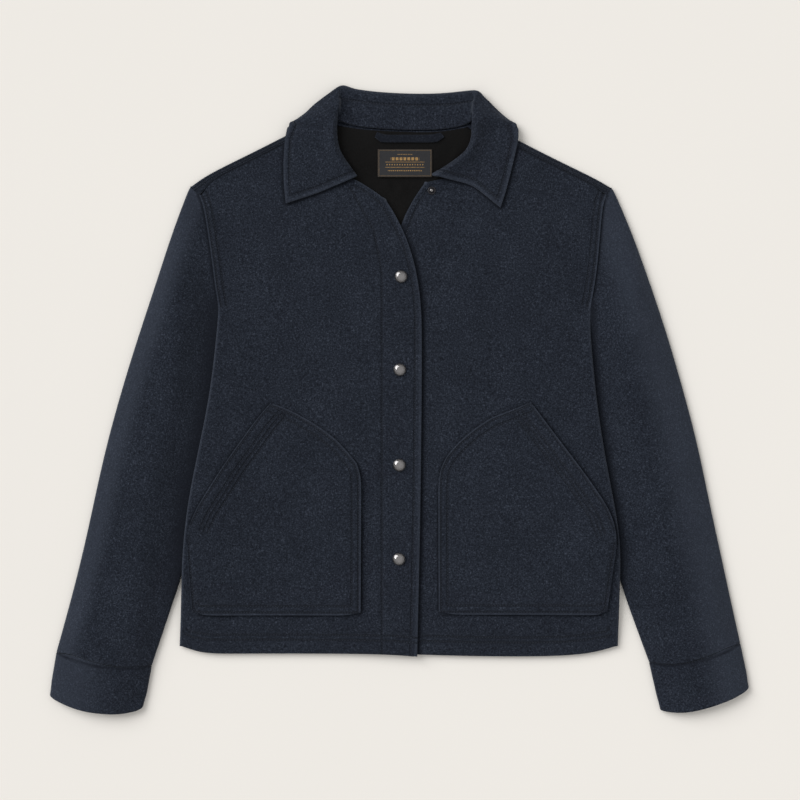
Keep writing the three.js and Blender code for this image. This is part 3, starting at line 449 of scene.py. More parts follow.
class Nodes:
    """Adds nodes and links to one node tree."""

    def __init__(self, tree: bpy.types.NodeTree) -> None:
        self.tree = tree

    def add(self, kind: str, **settings: object) -> bpy.types.Node:
        """Returns a new node of a kind, with the given properties set."""
        node = self.tree.nodes.new(kind)
        for name, value in settings.items():
            setattr(node, name, value)
        return node

    def feed(self, socket: Socket, value: object) -> None:
        """Links a socket to another, or sets its value."""
        if isinstance(value, Socket):
            self.tree.links.new(value, socket)
        else:
            socket.default_value = value

    def math(self, operation: str, *values: object, clamp: bool = False) -> Socket:
        """Returns the result of a Math node."""
        node = self.add("ShaderNodeMath", operation=operation, use_clamp=clamp)
        for socket, value in zip(node.inputs, values):
            self.feed(socket, value)
        return node.outputs[0]

    def total(self, *values: object) -> Socket:
        """Returns the sum of two or more values."""
        result = values[0]
        for value in values[1:]:
            result = self.math("ADD", result, value)
        return result

    def weighted(self, *parts: tuple[object, float]) -> Socket:
        """Returns the sum of values, each times its weight."""
        return self.total(*(self.math("MULTIPLY", value, weight) for value, weight in parts))

    def ramp(self, value: object, low: float, high: float) -> Socket:
        """Returns 0 below low, 1 above high and a smooth step between."""
        node = self.add("ShaderNodeMapRange", interpolation_type="SMOOTHSTEP")
        for name, given in (("Value", value), ("From Min", low), ("From Max", high)):
            self.feed(node.inputs[name], given)
        return node.outputs[0]

    def fade(self, value: object, low: float, high: float) -> Socket:
        """Returns 1 below low, 0 above high and a smooth step between."""
        return self.math("SUBTRACT", 1.0, self.ramp(value, low, high))

    def mix(self, factor: object, first: object, second: object) -> Socket:
        """Returns a mix of two colours."""
        node = self.add("ShaderNodeMix", data_type="RGBA")
        for index, value in ((0, factor), (6, first), (7, second)):
            if isinstance(value, tuple):
                value = (*value, 1.0)
            self.feed(node.inputs[index], value)
        return node.outputs[2]

    def noise(self, scale: object, detail: float, stretch: Triple = (1, 1, 1),
              place: Socket | None = None) -> Socket:
        """Returns noise on object coordinates, stretched along the axes where a number is below 1."""
        if place is None:
            place = self.add("ShaderNodeTexCoord").outputs["Object"]
        mapping = self.add("ShaderNodeMapping")
        self.feed(mapping.inputs["Vector"], place)
        mapping.inputs["Scale"].default_value = stretch
        node = self.add("ShaderNodeTexNoise")
        self.feed(node.inputs["Vector"], mapping.outputs[0])
        self.feed(node.inputs["Scale"], scale)
        node.inputs["Detail"].default_value = detail
        return node.outputs[0]

    def attribute(self, name: str) -> Socket:
        """Returns a number stored on the mesh."""
        return self.add("ShaderNodeAttribute", attribute_name=name).outputs["Fac"]

    def set(self, node: bpy.types.Node, **values: object) -> bpy.types.Node:
        """Feeds inputs of a node, each named with _ for a space, and returns it."""
        for name, value in values.items():
            self.feed(node.inputs[name.replace("_", " ")], value)
        return node


def new_group(name: str, inputs: dict[str, str], outputs: dict[str, str]) -> tuple[Nodes, dict, dict]:
    """Starts a shader node group.

    Args:
        name: the group's name.
        inputs: each input's name and socket type.
        outputs: each output's name and socket type.

    Returns:
        The group's nodes, the sockets that bring its inputs, and those that take its outputs.
    """
    tree = bpy.data.node_groups.new(name, "ShaderNodeTree")
    for side, sockets in (("INPUT", inputs), ("OUTPUT", outputs)):
        for socket, kind in sockets.items():
            tree.interface.new_socket(socket, in_out=side, socket_type=kind)
    nodes = Nodes(tree)
    entry = nodes.add("NodeGroupInput")
    leave = nodes.add("NodeGroupOutput")
    return nodes, {key: entry.outputs[key] for key in inputs}, {key: leave.inputs[key] for key in outputs}


def fibre_group() -> bpy.types.NodeTree:
    """Returns a group that mixes three fibre colours in flecks, and gives the height of their nap."""
    kind = "NodeSocketFloat"
    colour = "NodeSocketColor"
    nodes, given, out = new_group(
        "fibres",
        {"Ground": colour, "Light": colour, "Deep": colour, "Frequency": kind},
        {"Color": colour, "Height": kind},
    )
    frequency = given["Frequency"]
    warp = nodes.noise(frequency, 2.0, (1.0, 0.45, 1.0))
    weft = nodes.noise(nodes.math("MULTIPLY", frequency, 1.13), 2.0, (0.45, 1.0, 1.0))
    fine = nodes.noise(nodes.math("MULTIPLY", frequency, 2.3), 3.0)
    clump = nodes.noise(nodes.math("MULTIPLY", frequency, 0.5), 3.0)
    broad = nodes.noise(nodes.math("MULTIPLY", frequency, 0.03), 4.0)
    thread = nodes.math("MAXIMUM", warp, weft)
    tone = nodes.total(nodes.weighted((thread, 0.62), (fine, 0.3), (clump, 0.24), (broad, 0.08)), -0.13)
    base = nodes.mix(nodes.ramp(tone, 0.40, 0.55), given["Deep"], given["Ground"])
    flecked = nodes.mix(nodes.ramp(tone, 0.53, 0.71), base, given["Light"])
    nodes.feed(out["Color"], flecked)
    nodes.feed(out["Height"], nodes.weighted((thread, 0.7), (fine, 0.45), (clump, 0.8)))
    return nodes.tree


def sewn_group() -> bpy.types.NodeTree:
    """Returns a group that reads a piece's rows, rims and contact lines and gives a mask for each, for the
    grooves, the painted highlight and the painted shade.
    """
    masks = ("Groove", "Pucker", "Rim", "Contact")
    nodes, _, out = new_group("sewn_rows", {}, {name: "NodeSocketFloat" for name in masks})
    nearest = None
    for row in range(ROWS):
        apart = nodes.math("MAXIMUM", nodes.math("ABSOLUTE", nodes.attribute(f"row{row}_mm")),
                           nodes.attribute(f"past{row}_mm"))
        nearest = apart if nearest is None else nodes.math("MINIMUM", nearest, apart)
    nodes.feed(out["Groove"], nodes.fade(nearest, 0.15, 1.9))
    nodes.feed(out["Pucker"], nodes.fade(nearest, 1.0, 6.0))
    nodes.feed(out["Rim"], nodes.fade(nodes.attribute("rim"), 0.35, 1.0))
    nodes.feed(out["Contact"], nodes.fade(nodes.attribute("contact"), 0.1, 1.0))
    return nodes.tree


def new_material(name: str) -> tuple[Material, Nodes, bpy.types.Node]:
    """Returns a new material, its nodes and its shader."""
    material = bpy.data.materials.new(name)
    material.use_nodes = True
    return material, Nodes(material.node_tree), material.node_tree.nodes["Principled BSDF"]


class Palette:
    """Builds the materials once and hands them out."""

    def __init__(self) -> None:
        self.fibres = fibre_group()
        self.sewn = sewn_group()
        self.wool = self._wool(WoolFinish(), "navy_wool", sewn=True)
        self.thread = self._wool(
            WoolFinish(ground=(0.026, 0.032, 0.047), light=(0.056, 0.066, 0.090), fleck_mm=0.5, nap_mm=0.05,
                       roughness=0.7, sheen=0.1),
            "navy_thread", sewn=False)
        # The hanger loop's wool, darker all over: painted shade inside the neck
        self.shaded_wool = self._wool(
            replace(WoolFinish(), ground=(0.0050, 0.0068, 0.0115), light=(0.0190, 0.0230, 0.0340)),
            "navy_wool_painted_shade", sewn=False)
        self.lining = self._lining(LiningFinish())
        self.label = self._label(LabelFinish())
        self.snap = self._snap(SnapFinish())

    def _bump(self, nodes: Nodes, shader: bpy.types.Node, height_mm: object) -> None:
        """Sends a height in millimetres to the shader's normal."""
        bump = nodes.set(nodes.add("ShaderNodeBump"), Strength=1.0, Distance=MM, Height=height_mm)
        nodes.set(shader, Normal=bump.outputs[0])

    def _wool(self, finish: WoolFinish, name: str, sewn: bool) -> Material:
        """Returns milled wool, with the grooves of its stitched rows where it has them, painted shade in the
        grooves and beside contact lines, and a painted highlight on rims.
        """
        material, nodes, shader = new_material(name)
        fibres = nodes.set(nodes.add("ShaderNodeGroup", node_tree=self.fibres), Ground=(*finish.ground, 1.0),
                           Light=(*finish.light, 1.0), Deep=(*finish.deep, 1.0),
                           Frequency=1.0 / (finish.fleck_mm * MM))
        colour = fibres.outputs["Color"]
        heights = [(fibres.outputs["Height"], finish.nap_mm)]
        if sewn:
            rows = nodes.add("ShaderNodeGroup", node_tree=self.sewn).outputs
            # Painted highlight along rims, painted shade in the grooves and beside contact lines
            for mask, strength, tint in (("Rim", finish.rim_light, finish.light),
                                         ("Groove", finish.groove_shade, finish.deep),
                                         ("Contact", finish.contact_shade, finish.deep)):
                colour = nodes.mix(nodes.math("MULTIPLY", rows[mask], strength), colour, tint)
            heights += [(rows["Groove"], -finish.groove_mm), (rows["Pucker"], -0.6 * finish.groove_mm)]
        nodes.set(shader, Base_Color=colour, Roughness=finish.roughness, Specular_IOR_Level=finish.specular,
                  Sheen_Weight=finish.sheen, Sheen_Roughness=finish.sheen_roughness,
                  Sheen_Tint=(*finish.sheen_tint, 1.0))
        self._bump(nodes, shader, nodes.weighted(*heights))
        return material

    def _lining(self, finish: LiningFinish) -> Material:
        """Returns smooth black lining with a fine twill."""
        material, nodes, shader = new_material("black_lining")
        frequency = 1.0 / (finish.weave_mm * MM)
        yarns = nodes.noise(frequency, 1.0, (1.0, 0.3, 1.0))
        soft = nodes.noise(22.0, 3.0)
        tone = nodes.ramp(nodes.weighted((yarns, 0.6), (soft, 0.4)), 0.35, 0.7)
        nodes.set(shader, Base_Color=nodes.mix(tone, finish.ground, finish.light),
                  Roughness=nodes.math("MULTIPLY_ADD", soft, 0.15, finish.roughness),
                  Specular_IOR_Level=finish.specular)
        self._bump(nodes, shader, nodes.weighted((yarns, 0.08), (soft, 1.2)))
        return material

    def _label(self, finish: LabelFinish) -> Material:
        """Returns the woven label: a border, stripes, dashes and a row of dots."""
        material, nodes, shader = new_material("woven_label")
        place = nodes.add("ShaderNodeTexCoord").outputs["Object"]
        split = nodes.add("ShaderNodeSeparateXYZ")
        nodes.feed(split.inputs[0], place)
        across = nodes.math("MULTIPLY_ADD", split.outputs[0], 1.0 / MM, -finish.centre[0])
        up = nodes.math("MULTIPLY_ADD", split.outputs[1], 1.0 / MM, -finish.centre[1])
        wide = nodes.math("ABSOLUTE", across)
        tall = nodes.math("ABSOLUTE", up)

        def band(height: float, half: float, reach: float) -> Socket:
            apart = nodes.math("ABSOLUTE", nodes.math("SUBTRACT", up, height))
            inside = nodes.fade(apart, half - 0.12, half + 0.12)
            return nodes.math("MULTIPLY", inside, nodes.math("LESS_THAN", wide, reach))

        def broken(value: Socket, pitch: float, part: float) -> Socket:
            cycle = nodes.math("PINGPONG", across, pitch / 2)
            return nodes.math("MULTIPLY", value, nodes.math("LESS_THAN", cycle, pitch / 2 * part))

        inner_width, inner_height = (part - 1.5 for part in finish.half)
        past = nodes.math("MAXIMUM", nodes.math("SUBTRACT", wide, inner_width),
                          nodes.math("SUBTRACT", tall, inner_height))
        rim = nodes.math("LESS_THAN", nodes.math("ABSOLUTE", past), 0.16)
        marks = nodes.math("MULTIPLY", rim, 0.6)
        for mark in (broken(band(5.0, 1.7, 17.0), 4.6, 0.72), band(1.3, 0.28, 23.0), band(-4.9, 0.28, 23.0),
                     broken(band(-1.8, 0.75, 22.0), 3.0, 0.42), broken(band(-8.8, 0.6, 20.0), 2.2, 0.6),
                     broken(band(10.2, 0.4, 9.0), 2.0, 0.6)):
            marks = nodes.math("MAXIMUM", marks, mark)
        edge = nodes.ramp(past, 0.5, 0.9)
        yarns = nodes.noise(1600.0, 1.0, (0.5, 1.0, 1.0))
        ribs = nodes.math("PINGPONG", up, 0.22)
        ground = nodes.mix(nodes.ramp(yarns, 0.35, 0.7), finish.ground, finish.lustre)
        wear_and_highlight = nodes.mix(nodes.ramp(yarns, 0.3, 0.6), tuple(part * 0.55 for part in finish.yarn), finish.yarn)
        nodes.set(shader, Base_Color=nodes.mix(edge, nodes.mix(marks, ground, wear_and_highlight), finish.border),
                  Roughness=finish.roughness)
        self._bump(nodes, shader, nodes.weighted((ribs, 0.35), (marks, 0.12), (yarns, 0.06)))
        return material

    def _snap(self, finish: SnapFinish) -> Material:
        """Returns polished nickel, darker where the mesh marks painted shade: on the caps' rims and in the
        recesses.
        """
        material, nodes, shader = new_material("dark_nickel")
        painted_shade = nodes.attribute("painted_shade")
        cloud = nodes.noise(700.0, 3.0)
        scratch = nodes.noise(2600.0, 2.0, (1.0, 0.15, 1.0))
        dull = tuple(part * 0.8 for part in finish.metal)
        metal = nodes.mix(nodes.ramp(cloud, 0.3, 0.75), dull, finish.metal)
        wear = nodes.weighted((cloud, 0.1), (scratch, 0.08), (painted_shade, 0.3))
        # Painted shade: the metal darkens where the mesh marks it
        nodes.set(shader, Base_Color=nodes.mix(painted_shade, metal, finish.painted_shade), Metallic=1.0,
                  Roughness=nodes.math("ADD", wear, finish.roughness - 0.08))
        self._bump(nodes, shader, nodes.math("MULTIPLY", scratch, 0.012))
        return material


# Cloth pieces


@dataclass(frozen=True)
class SewnRow:
    """A row of stitches beside an edge.

    Attributes:
        edge: the edge or seam that the row follows.
        inset: its distance from the edge, mm.
        to_left: True if the row lies left of the edge's direction.
        face: the side of the cloth that it shows on.
        index: which of the piece's row attributes it fills.
    """

    edge: Points
    inset: float
    to_left: bool
    face: Face = Face.TOP
    index: int = 0

    def signed(self, places: Array) -> Array:
        """Returns each point's distance from the row, below 0 between the row and its edge."""
        apart, left = Line(self.edge).distance(places)
        inward = apart * left * (1 if self.to_left else -1)
        return inward - self.inset


def doubled(edge: Points, insets: Pair, to_left: bool, index: int,
            face: Face = Face.TOP) -> tuple[SewnRow, ...]:
    """Returns two rows side by side, which fill the row attributes from index on."""
    return tuple(SewnRow(edge, inset, to_left, face, index + step) for step, inset in enumerate(insets))


@dataclass(frozen=True)
class Band:
    """A band along a line, such as the painted shade beside a piece that lies on the cloth, or the painted
    highlight of a folded rim.

    Attributes:
        edge: the line that it follows.
        reach: the distance at which it has faded, mm.
    """

    edge: Points
    reach: float


def linked(name: str, data: bpy.types.ID) -> Object:
    """Returns a new object in the scene that shows the data."""
    piece = bpy.data.objects.new(name, data)
    bpy.context.scene.collection.objects.link(piece)
    return piece


def baked(holder: Object, name: str) -> Mesh:
    """Returns what an object shows as a plain mesh, and removes the object."""
    graph = bpy.context.evaluated_depsgraph_get()
    mesh = bpy.data.meshes.new_from_object(holder.evaluated_get(graph))
    bpy.data.objects.remove(holder)
    mesh.name = name
    mesh.shade_smooth()
    return mesh


def object_from(mesh: Mesh, material: Material) -> Object:
    """Returns a new object, named as its mesh, that rides on the jacket's body."""
    piece = linked(mesh.name, mesh)
    mesh.materials.clear()
    mesh.materials.append(material)
    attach(piece, "root")
    return piece


@dataclass
class ClothPiece:
    """One sewn piece: a fine shell on the form of its CAD node.

    Attributes:
        node: the CAD node that it stands for.
        levels: how often the shell is subdivided.
        lift: height added to each point from its place in plan and its own height, mm.
        shift: how far each point moves in plan from its place there, mm.
        slot: its material slot.
        rows: its stitched rows.
        contacts: the lines where another piece meets it, which painted shade makes darker.
        rims: its folded edges, which a painted highlight makes lighter.
        corner: the turn of its outline, in degrees, from which a corner stays sharp.
        crease: how sharp its rim stays, from 0 to 1.
    """

    node: str
    levels: int
    lift: Lift
    shift: Shift | None = None
    slot: Slot = Slot.WOOL
    rows: tuple[SewnRow, ...] = ()
    contacts: tuple[Band, ...] = ()
    rims: tuple[Band, ...] = ()
    corner: float = 21.0
    crease: float = 0.75
    piece: Object | None = field(default=None, init=False)

    RIM_ANGLE = math.radians(58)  # faces that meet at more than this make a rim
    FACE_ANGLE = math.radians(40)  # most that two triangles of one quad may bend
    SHAPE_ANGLE = math.radians(60)
    WELD = 0.004 * MM
    UPRIGHT = 0.8  # share of its length that an upright edge rises

    def make(self, source: Object, material: Material) -> Object:
        """Builds the shell.

        Args:
            source: the CAD node's object.
            material: what the cloth is made of.

        Returns:
            The shell, which replaces the node.
        """
        holder = linked(f"{self.node}_control", self._control(source))
        modifier = holder.modifiers.new("fine", "SUBSURF")
        modifier.levels = modifier.render_levels = self.levels
        modifier.quality = 3
        mesh = baked(holder, f"cloth_{self.node}")
        self._raise(mesh)
        self._mark_rows(mesh)
        self.piece = object_from(mesh, material)
        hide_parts(self.node)
        log.info("%s: %d faces", self.piece.name, len(mesh.polygons))
        return self.piece

    def _control(self, source: Object) -> Mesh:
        """Returns the node's mesh welded, in quads, with creases along its rims and at its corners."""
        work = bmesh.new()
        work.from_mesh(source.data)
        work.transform(source.matrix_world)
        bmesh.ops.remove_doubles(work, verts=work.verts[:], dist=self.WELD)
        bmesh.ops.join_triangles(work, faces=work.faces[:], angle_face_threshold=self.FACE_ANGLE,
                                 angle_shape_threshold=self.SHAPE_ANGLE, cmp_seam=False, cmp_sharp=False,
                                 cmp_uvs=False, cmp_vcols=False, cmp_materials=False)
        edge_crease = work.edges.layers.float.new("crease_edge")
        corner_crease = work.verts.layers.float.new("crease_vert")
        rims = {edge for edge in work.edges
                if edge.is_manifold and edge.calc_face_angle(0.0) > self.RIM_ANGLE}
        for edge in rims:
            edge[edge_crease] = self.crease
        for vertex in work.verts:
            level = [edge for edge in vertex.link_edges if edge in rims and not self._is_upright(edge)]
            if len(level) != 2:
                continue
            first, second = [(edge.other_vert(vertex).co - vertex.co).normalized() for edge in level]
            if math.pi - first.angle(second, math.pi) > math.radians(self.corner):
                vertex[corner_crease] = 1.0
        mesh = bpy.data.meshes.new(f"{self.node}_control")
        work.to_mesh(mesh)
        work.free()
        return mesh

    def _is_upright(self, edge: bmesh.types.BMEdge) -> bool:
        along = edge.verts[1].co - edge.verts[0].co
        return abs(along.z) > self.UPRIGHT * along.length

    @staticmethod
    def _places(mesh: Mesh) -> Array:
        places = np.empty(len(mesh.vertices) * 3)
        mesh.vertices.foreach_get("co", places)
        return places.reshape(-1, 3)

    def _raise(self, mesh: Mesh) -> None:
        """Moves the fine vertices by the piece's shift and lift."""
        places = self._places(mesh)
        if self.shift is not None:
            places[:, :2] += self.shift(places[:, :2] / MM) * MM
        places[:, 2] += self.lift(places[:, :2] / MM, places[:, 2] / MM) * MM
        mesh.vertices.foreach_set("co", places.ravel())
        mesh.update()

    def _mark_rows(self, mesh: Mesh) -> None:
        """Stores the distance from each stitched row, contact line and rim on the vertices."""
        places = self._places(mesh)[:, :2] / MM
        for index in range(ROWS):
            marked = np.full(len(places), FAR)
            past = np.zeros(len(places))
            for row in (row for row in self.rows if row.index == index):
                signed = row.signed(places)
                nearer = np.abs(signed) < np.abs(marked)
                marked = np.where(nearer, signed, marked)
                past = np.where(nearer, Line(row.edge).beyond(places), past)
            for name, values in ((f"row{index}_mm", marked), (f"past{index}_mm", past)):
                mesh.attributes.new(name, "FLOAT", "POINT").data.foreach_set("value", values)
        # contact marks where painted shade falls, rim where a painted highlight falls
        for name, bands in (("contact", self.contacts), ("rim", self.rims)):
            marked = np.full(len(places), FAR)
            for band in bands:
                marked = np.minimum(marked, Line(band.edge).distance(places)[0] / band.reach)
            layer = mesh.attributes.new(name, "FLOAT", "POINT")
            layer.data.foreach_set("value", marked)


# Stitches and small pieces


class Stitcher:
    """Lays stitches along a cloth piece's rows, as one mesh of short sunk threads."""

    PITCH = 3.3
    LENGTH = 2.5
    RADIUS = 0.3
    LEAD = 0.15  # share of a pitch before the first stitch
    KNOTS = np.array((0.0, 0.3, 0.7, 1.0))  # where a thread bends, in shares of its length
    SUNK = (-0.32, 0.1, 0.1, -0.32)
    TAPER = (0.6, 1.0, 1.0, 0.6)
    BELOW = 0.1  # how far a stitch may stand out below the jacket
    GAP = 4.0  # a longer step of the path is a jump, with no stitch across it
    STRETCH = 1.4  # a longer stitch than this many lengths is left out
    STEP = 1.2  # so is one whose ends differ more in height
    LEVEL = 0.55  # least upward part of the normal that carries a stitch

    def __init__(self, cloth: ClothPiece) -> None:
        self.cloth = cloth
        mesh = cloth.piece.data
        corners = [vertex.co.copy() for vertex in mesh.vertices]
        self.tree = BVHTree.FromPolygons(corners, [tuple(face.vertices) for face in mesh.polygons])
        self.threads: list[list[Vector]] = []

    def _on_cloth(self, x: float, y: float, face: Face) -> Vector | None:
        """Returns the point of the cloth's shown side at a place in plan, or None where it slopes away."""
        start = Vector((x * MM, y * MM, face.value * 0.2))
        place, normal, _, _ = self.tree.ray_cast(start, Vector((0, 0, -face.value)))
        if place is None or abs(normal.z) < self.LEVEL:
            return None
        return place

    def _row(self, row: SewnRow) -> None:
        """Adds the stitches of one row."""
        line = Line(row.edge)
        path = line.offset(row.inset, row.to_left) if row.inset > 0 else line.resampled(1.0).points
        if len(path) < 4:
            return
        steps = np.hypot(*np.diff(path, axis=0).T)
        along = np.concatenate(([0.0], np.cumsum(np.where(steps > self.GAP, 0.0, steps))))
        up = Vector((0, 0, row.face.value))
        for stitch in range(int(along[-1] / self.PITCH)):
            stations = (stitch + self.LEAD) * self.PITCH + self.KNOTS * self.LENGTH
            xs = np.interp(stations, along, path[:, 0])
            ys = np.interp(stations, along, path[:, 1])
            if math.hypot(xs[-1] - xs[0], ys[-1] - ys[0]) > self.STRETCH * self.LENGTH:
                continue
            points = [self._on_cloth(x, y, row.face) for x, y in zip(xs, ys)]
            if any(point is None for point in points):
                continue
            if abs(points[0].z - points[-1].z) > self.STEP * MM:
                continue
            thread = [point + up * (depth * MM) for point, depth in zip(points, self.SUNK)]
            for point, taper in zip(thread, self.TAPER):
                point.z = max(point.z, (self.RADIUS * taper - self.BELOW) * MM)
            self.threads.append(thread)

    def make(self, material: Material) -> Object | None:
        """Returns one object with all the stitches of the piece, or None if it has none."""
        for row in self.cloth.rows:
            self._row(row)
        if not self.threads:
            return None
        curve = bpy.data.curves.new("threads", "CURVE")
        curve.dimensions = "3D"
        curve.bevel_depth = self.RADIUS * MM
        curve.bevel_resolution = 1
        curve.use_fill_caps = True
        for thread in self.threads:
            spline = curve.splines.new("POLY")
            spline.points.add(len(thread) - 1)
            for point, place, radius in zip(spline.points, thread, self.TAPER):
                point.co = (*place, 1.0)
                point.radius = radius
        mesh = baked(linked("threads", curve), f"stitches_{self.cloth.node}")
        bpy.data.curves.remove(curve)
        piece = object_from(mesh, material)
        log.info("%s: %d stitches", piece.name, len(self.threads))
        return piece


@dataclass(frozen=True)
class Turned:
    """A turned metal piece: rings of (radius, height, painted shade) from the bottom round to the top, mm.

    Attributes:
        rings: the profile; its third number is how dark a ring is painted as shade, from 0 to 1.
        sides: how many flats or segments it has round its axis.
        facets_within: the radius inside which the surface is cut into flat facets.
    """

    rings: tuple[Triple, ...]
    sides: int
    facets_within: float = 0.0

    def mesh(self, name: str, centre: Vector) -> Mesh:
        """Returns the closed mesh standing on its centre."""
        work = bmesh.new()
        painted_shade = work.verts.layers.float.new("painted_shade")
        profile = []
        for radius, height, dark in self.rings:
            vertex = work.verts.new(centre + Vector((radius, 0.0, height)) * MM)
            vertex[painted_shade] = dark
            profile.append(vertex)
        edges = [work.edges.new(pair) for pair in zip(profile, profile[1:])]
        bmesh.ops.spin(work, geom=[*profile, *edges], cent=centre, axis=(0, 0, 1), angle=2 * math.pi,
                       steps=self.sides, use_merge=True, use_duplicate=False)
        bmesh.ops.holes_fill(work, edges=work.edges[:], sides=self.sides)
        self._cut_facets(work, centre)
        bmesh.ops.recalc_face_normals(work, faces=work.faces[:])
        mesh = bpy.data.meshes.new(name)
        work.to_mesh(mesh)
        work.free()
        return mesh

    def _cut_facets(self, work: bmesh.types.BMesh, centre: Vector) -> None:
        """Turns every other inner ring by half a side and makes the faces there flat triangles."""
        half_side = Matrix.Rotation(math.pi / self.sides, 3, "Z")
        inner = [ring for ring in self.rings if ring[0] < self.facets_within]
        for radius, height, _ in inner[1::2]:
            ring = [vertex for vertex in work.verts
                    if abs((vertex.co - centre).xy.length - radius * MM) < 0.01 * MM
                    and abs(vertex.co.z - centre.z - height * MM) < 0.01 * MM]
            bmesh.ops.rotate(work, verts=ring, cent=centre, matrix=half_side)
        for face in work.faces:
            face.smooth = (face.calc_center_median() - centre).xy.length > self.facets_within * MM
        flat = [face for face in work.faces if not face.smooth and len(face.verts) == 4]
        bmesh.ops.triangulate(work, faces=flat)


# In both profiles the third number is painted shade, on flanges, rims and under the stud's head
CAP = Turned(
    rings=((7.0, 0.0, 1.0), (7.5, 0.3, 1.0), (7.5, 0.9, 0.9), (7.25, 1.35, 0.7), (6.0, 2.45, 0.2),
           (3.9, 3.3, 0.0), (1.7, 3.65, 0.0)),
    sides=9, facets_within=7.3)
STUD = Turned(
    rings=((4.7, 0.0, 1.0), (4.7, 0.45, 1.0), (4.4, 0.7, 0.85), (3.9, 0.7, 0.9), (3.4, 0.35, 1.0),
           (2.6, 0.35, 1.0), (1.95, 0.8, 0.95), (1.75, 1.7, 0.5), (2.0, 2.4, 0.1), (1.95, 3.0, 0.0),
           (1.4, 3.45, 0.0), (0.6, 3.6, 0.0)),
    sides=28)


# Soft forms

FRONT_FIELD = SoftField(
    creases=(
        Crease((-208, 128), (-118, 52), 1.5, 15, bow=-9, lean=0.5),
        Crease((-214, 92), (-150, 30), -0.9, 11, bow=6),
        Crease((-168, 262), (-150, 120), 1.1, 24, bow=8),
        Crease((-96, 226), (-70, 40), 0.9, 30, bow=-10, lean=0.4),
        Crease((-226, 22), (-178, -10), 1.3, 12, bow=4, lean=0.6),
        Crease((-36, 60), (-33, -262), -0.9, 11, bow=2),
        Crease((-190, -306), (-184, -250), 1.0, 14, bow=3),
        Crease((-92, -306), (-98, -262), -0.8, 17, bow=-2),
        Crease((212, 130), (132, 66), 1.4, 14, bow=10, lean=-0.5),
        Crease((222, 88), (160, 18), 1.0, 17, bow=-7),
        Crease((166, 262), (158, 104), 1.0, 26, bow=-9),
        Crease((96, 214), (62, 20), 1.1, 26, bow=12, lean=0.3),
        Crease((234, 12), (196, -26), -0.9, 12, bow=3),
        Crease((36, 70), (38, -150), 0.8, 12, bow=-2),
        Crease((124, -308), (118, -256), 1.0, 15, bow=-3),
        Crease((212, -302), (218, -258), -0.8, 12, bow=2),
        Crease((-6, 142), (-60, 122), 0.7, 8, bow=3),
        Crease((-8, 36), (-58, 30), 0.6, 8, bow=-2),
        Crease((-8, -78), (-42, -92), 0.6, 7, bow=2),
    ),
    fade=24.0, loft=2.0)

BACK_FIELD = SoftField(
    creases=(
        Crease((-190, 150), (-90, 40), 0.7, 18, bow=-12, lean=0.4),
        Crease((180, 160), (104, 58), 0.8, 16, bow=10),
        Crease((-60, 230), (-78, -40), 0.5, 26, bow=9),
        Crease((70, 190), (48, -90), 0.6, 22, bow=-11, lean=0.3),
        Crease((-200, -60), (-150, -200), 0.5, 20, bow=6),
        Crease((205, -90), (168, -230), 0.6, 17, bow=-7),
        Crease((-20, -120), (16, -260), 0.5, 24, bow=8),
    ),
    fade=40.0, loft=0.1)

POCKET_RIGHT_CREASES = (
    Crease((-196, -70), (-110, -150), 0.9, 20, bow=-10, lean=0.4),
    Crease((-222, -170), (-150, -226), 0.7, 16, bow=6),
    Crease((-90, -60), (-72, -180), 0.6, 18, bow=-4),
)
POCKET_LEFT_CREASES = (
    Crease((206, -76), (126, -148), 0.8, 18, bow=9, lean=-0.4),
    Crease((228, -180), (172, -222), 0.8, 14, bow=-5),
    Crease((96, -70), (84, -200), 0.6, 20, bow=5),
)
ARM_RIGHT = ArmField(
    outer=ARM_RIGHT_OUTER, inner=ARM_RIGHT_INNER, crown=13.0,
    creases=(
        Crease((-236, 52), (-292, 84), 2.4, 11, bow=6, lean=0.5),
        Crease((-230, 14), (-300, 34), 1.8, 13, bow=-5),
        Crease((-238, -36), (-296, -10), -1.4, 12, bow=5),
        Crease((-252, -96), (-318, -64), 1.9, 14, bow=-7, lean=0.4),
        Crease((-344, -92), (-296, -150), 1.3, 13, bow=6),
        Crease((-276, -214), (-340, -192), -1.2, 15, bow=-4),
        Crease((-300, -286), (-352, -262), 1.5, 11, bow=5, lean=0.4),
        Crease((-392, -292), (-366, -230), 1.1, 12, bow=-4),
        Crease((-262, 204), (-276, 110), 1.2, 16, bow=-5),
        Crease((-330, -352), (-322, -320), 0.9, 12),
    ))
ARM_LEFT = ArmField(
    outer=ARM_LEFT_OUTER, inner=ARM_LEFT_INNER, crown=11.0,
    creases=(
        Crease((242, 60), (302, 98), 2.0, 12, bow=-6, lean=-0.5),
        Crease((236, 20), (298, 46), -1.4, 11, bow=4),
        Crease((240, -30), (322, 2), 1.9, 15, bow=6, lean=-0.3),
        Crease((262, -86), (316, -66), 1.3, 11, bow=-4),
        Crease((348, -60), (304, -134), 1.4, 15, bow=-8),
        Crease((278, -188), (344, -178), 1.6, 12, bow=5, lean=-0.4),
        Crease((298, -246), (350, -222), -1.2, 14, bow=-4),
        Crease((386, -282), (368, -216), 1.2, 12, bow=5),
        Crease((268, 206), (284, 118), 1.1, 15, bow=6),
        Crease((338, -350), (334, -318), 0.8, 14),
    ))
ARM_UNDER_CREASES = (
    Crease((-300, 90), (-250, 20), 0.7, 14, bow=5),
    Crease((-330, -120), (-272, -160), 0.6, 16, bow=-6),
    Crease((300, 110), (256, 36), 0.6, 13, bow=-5),
    Crease((350, -140), (292, -190), 0.7, 15, bow=6),
)
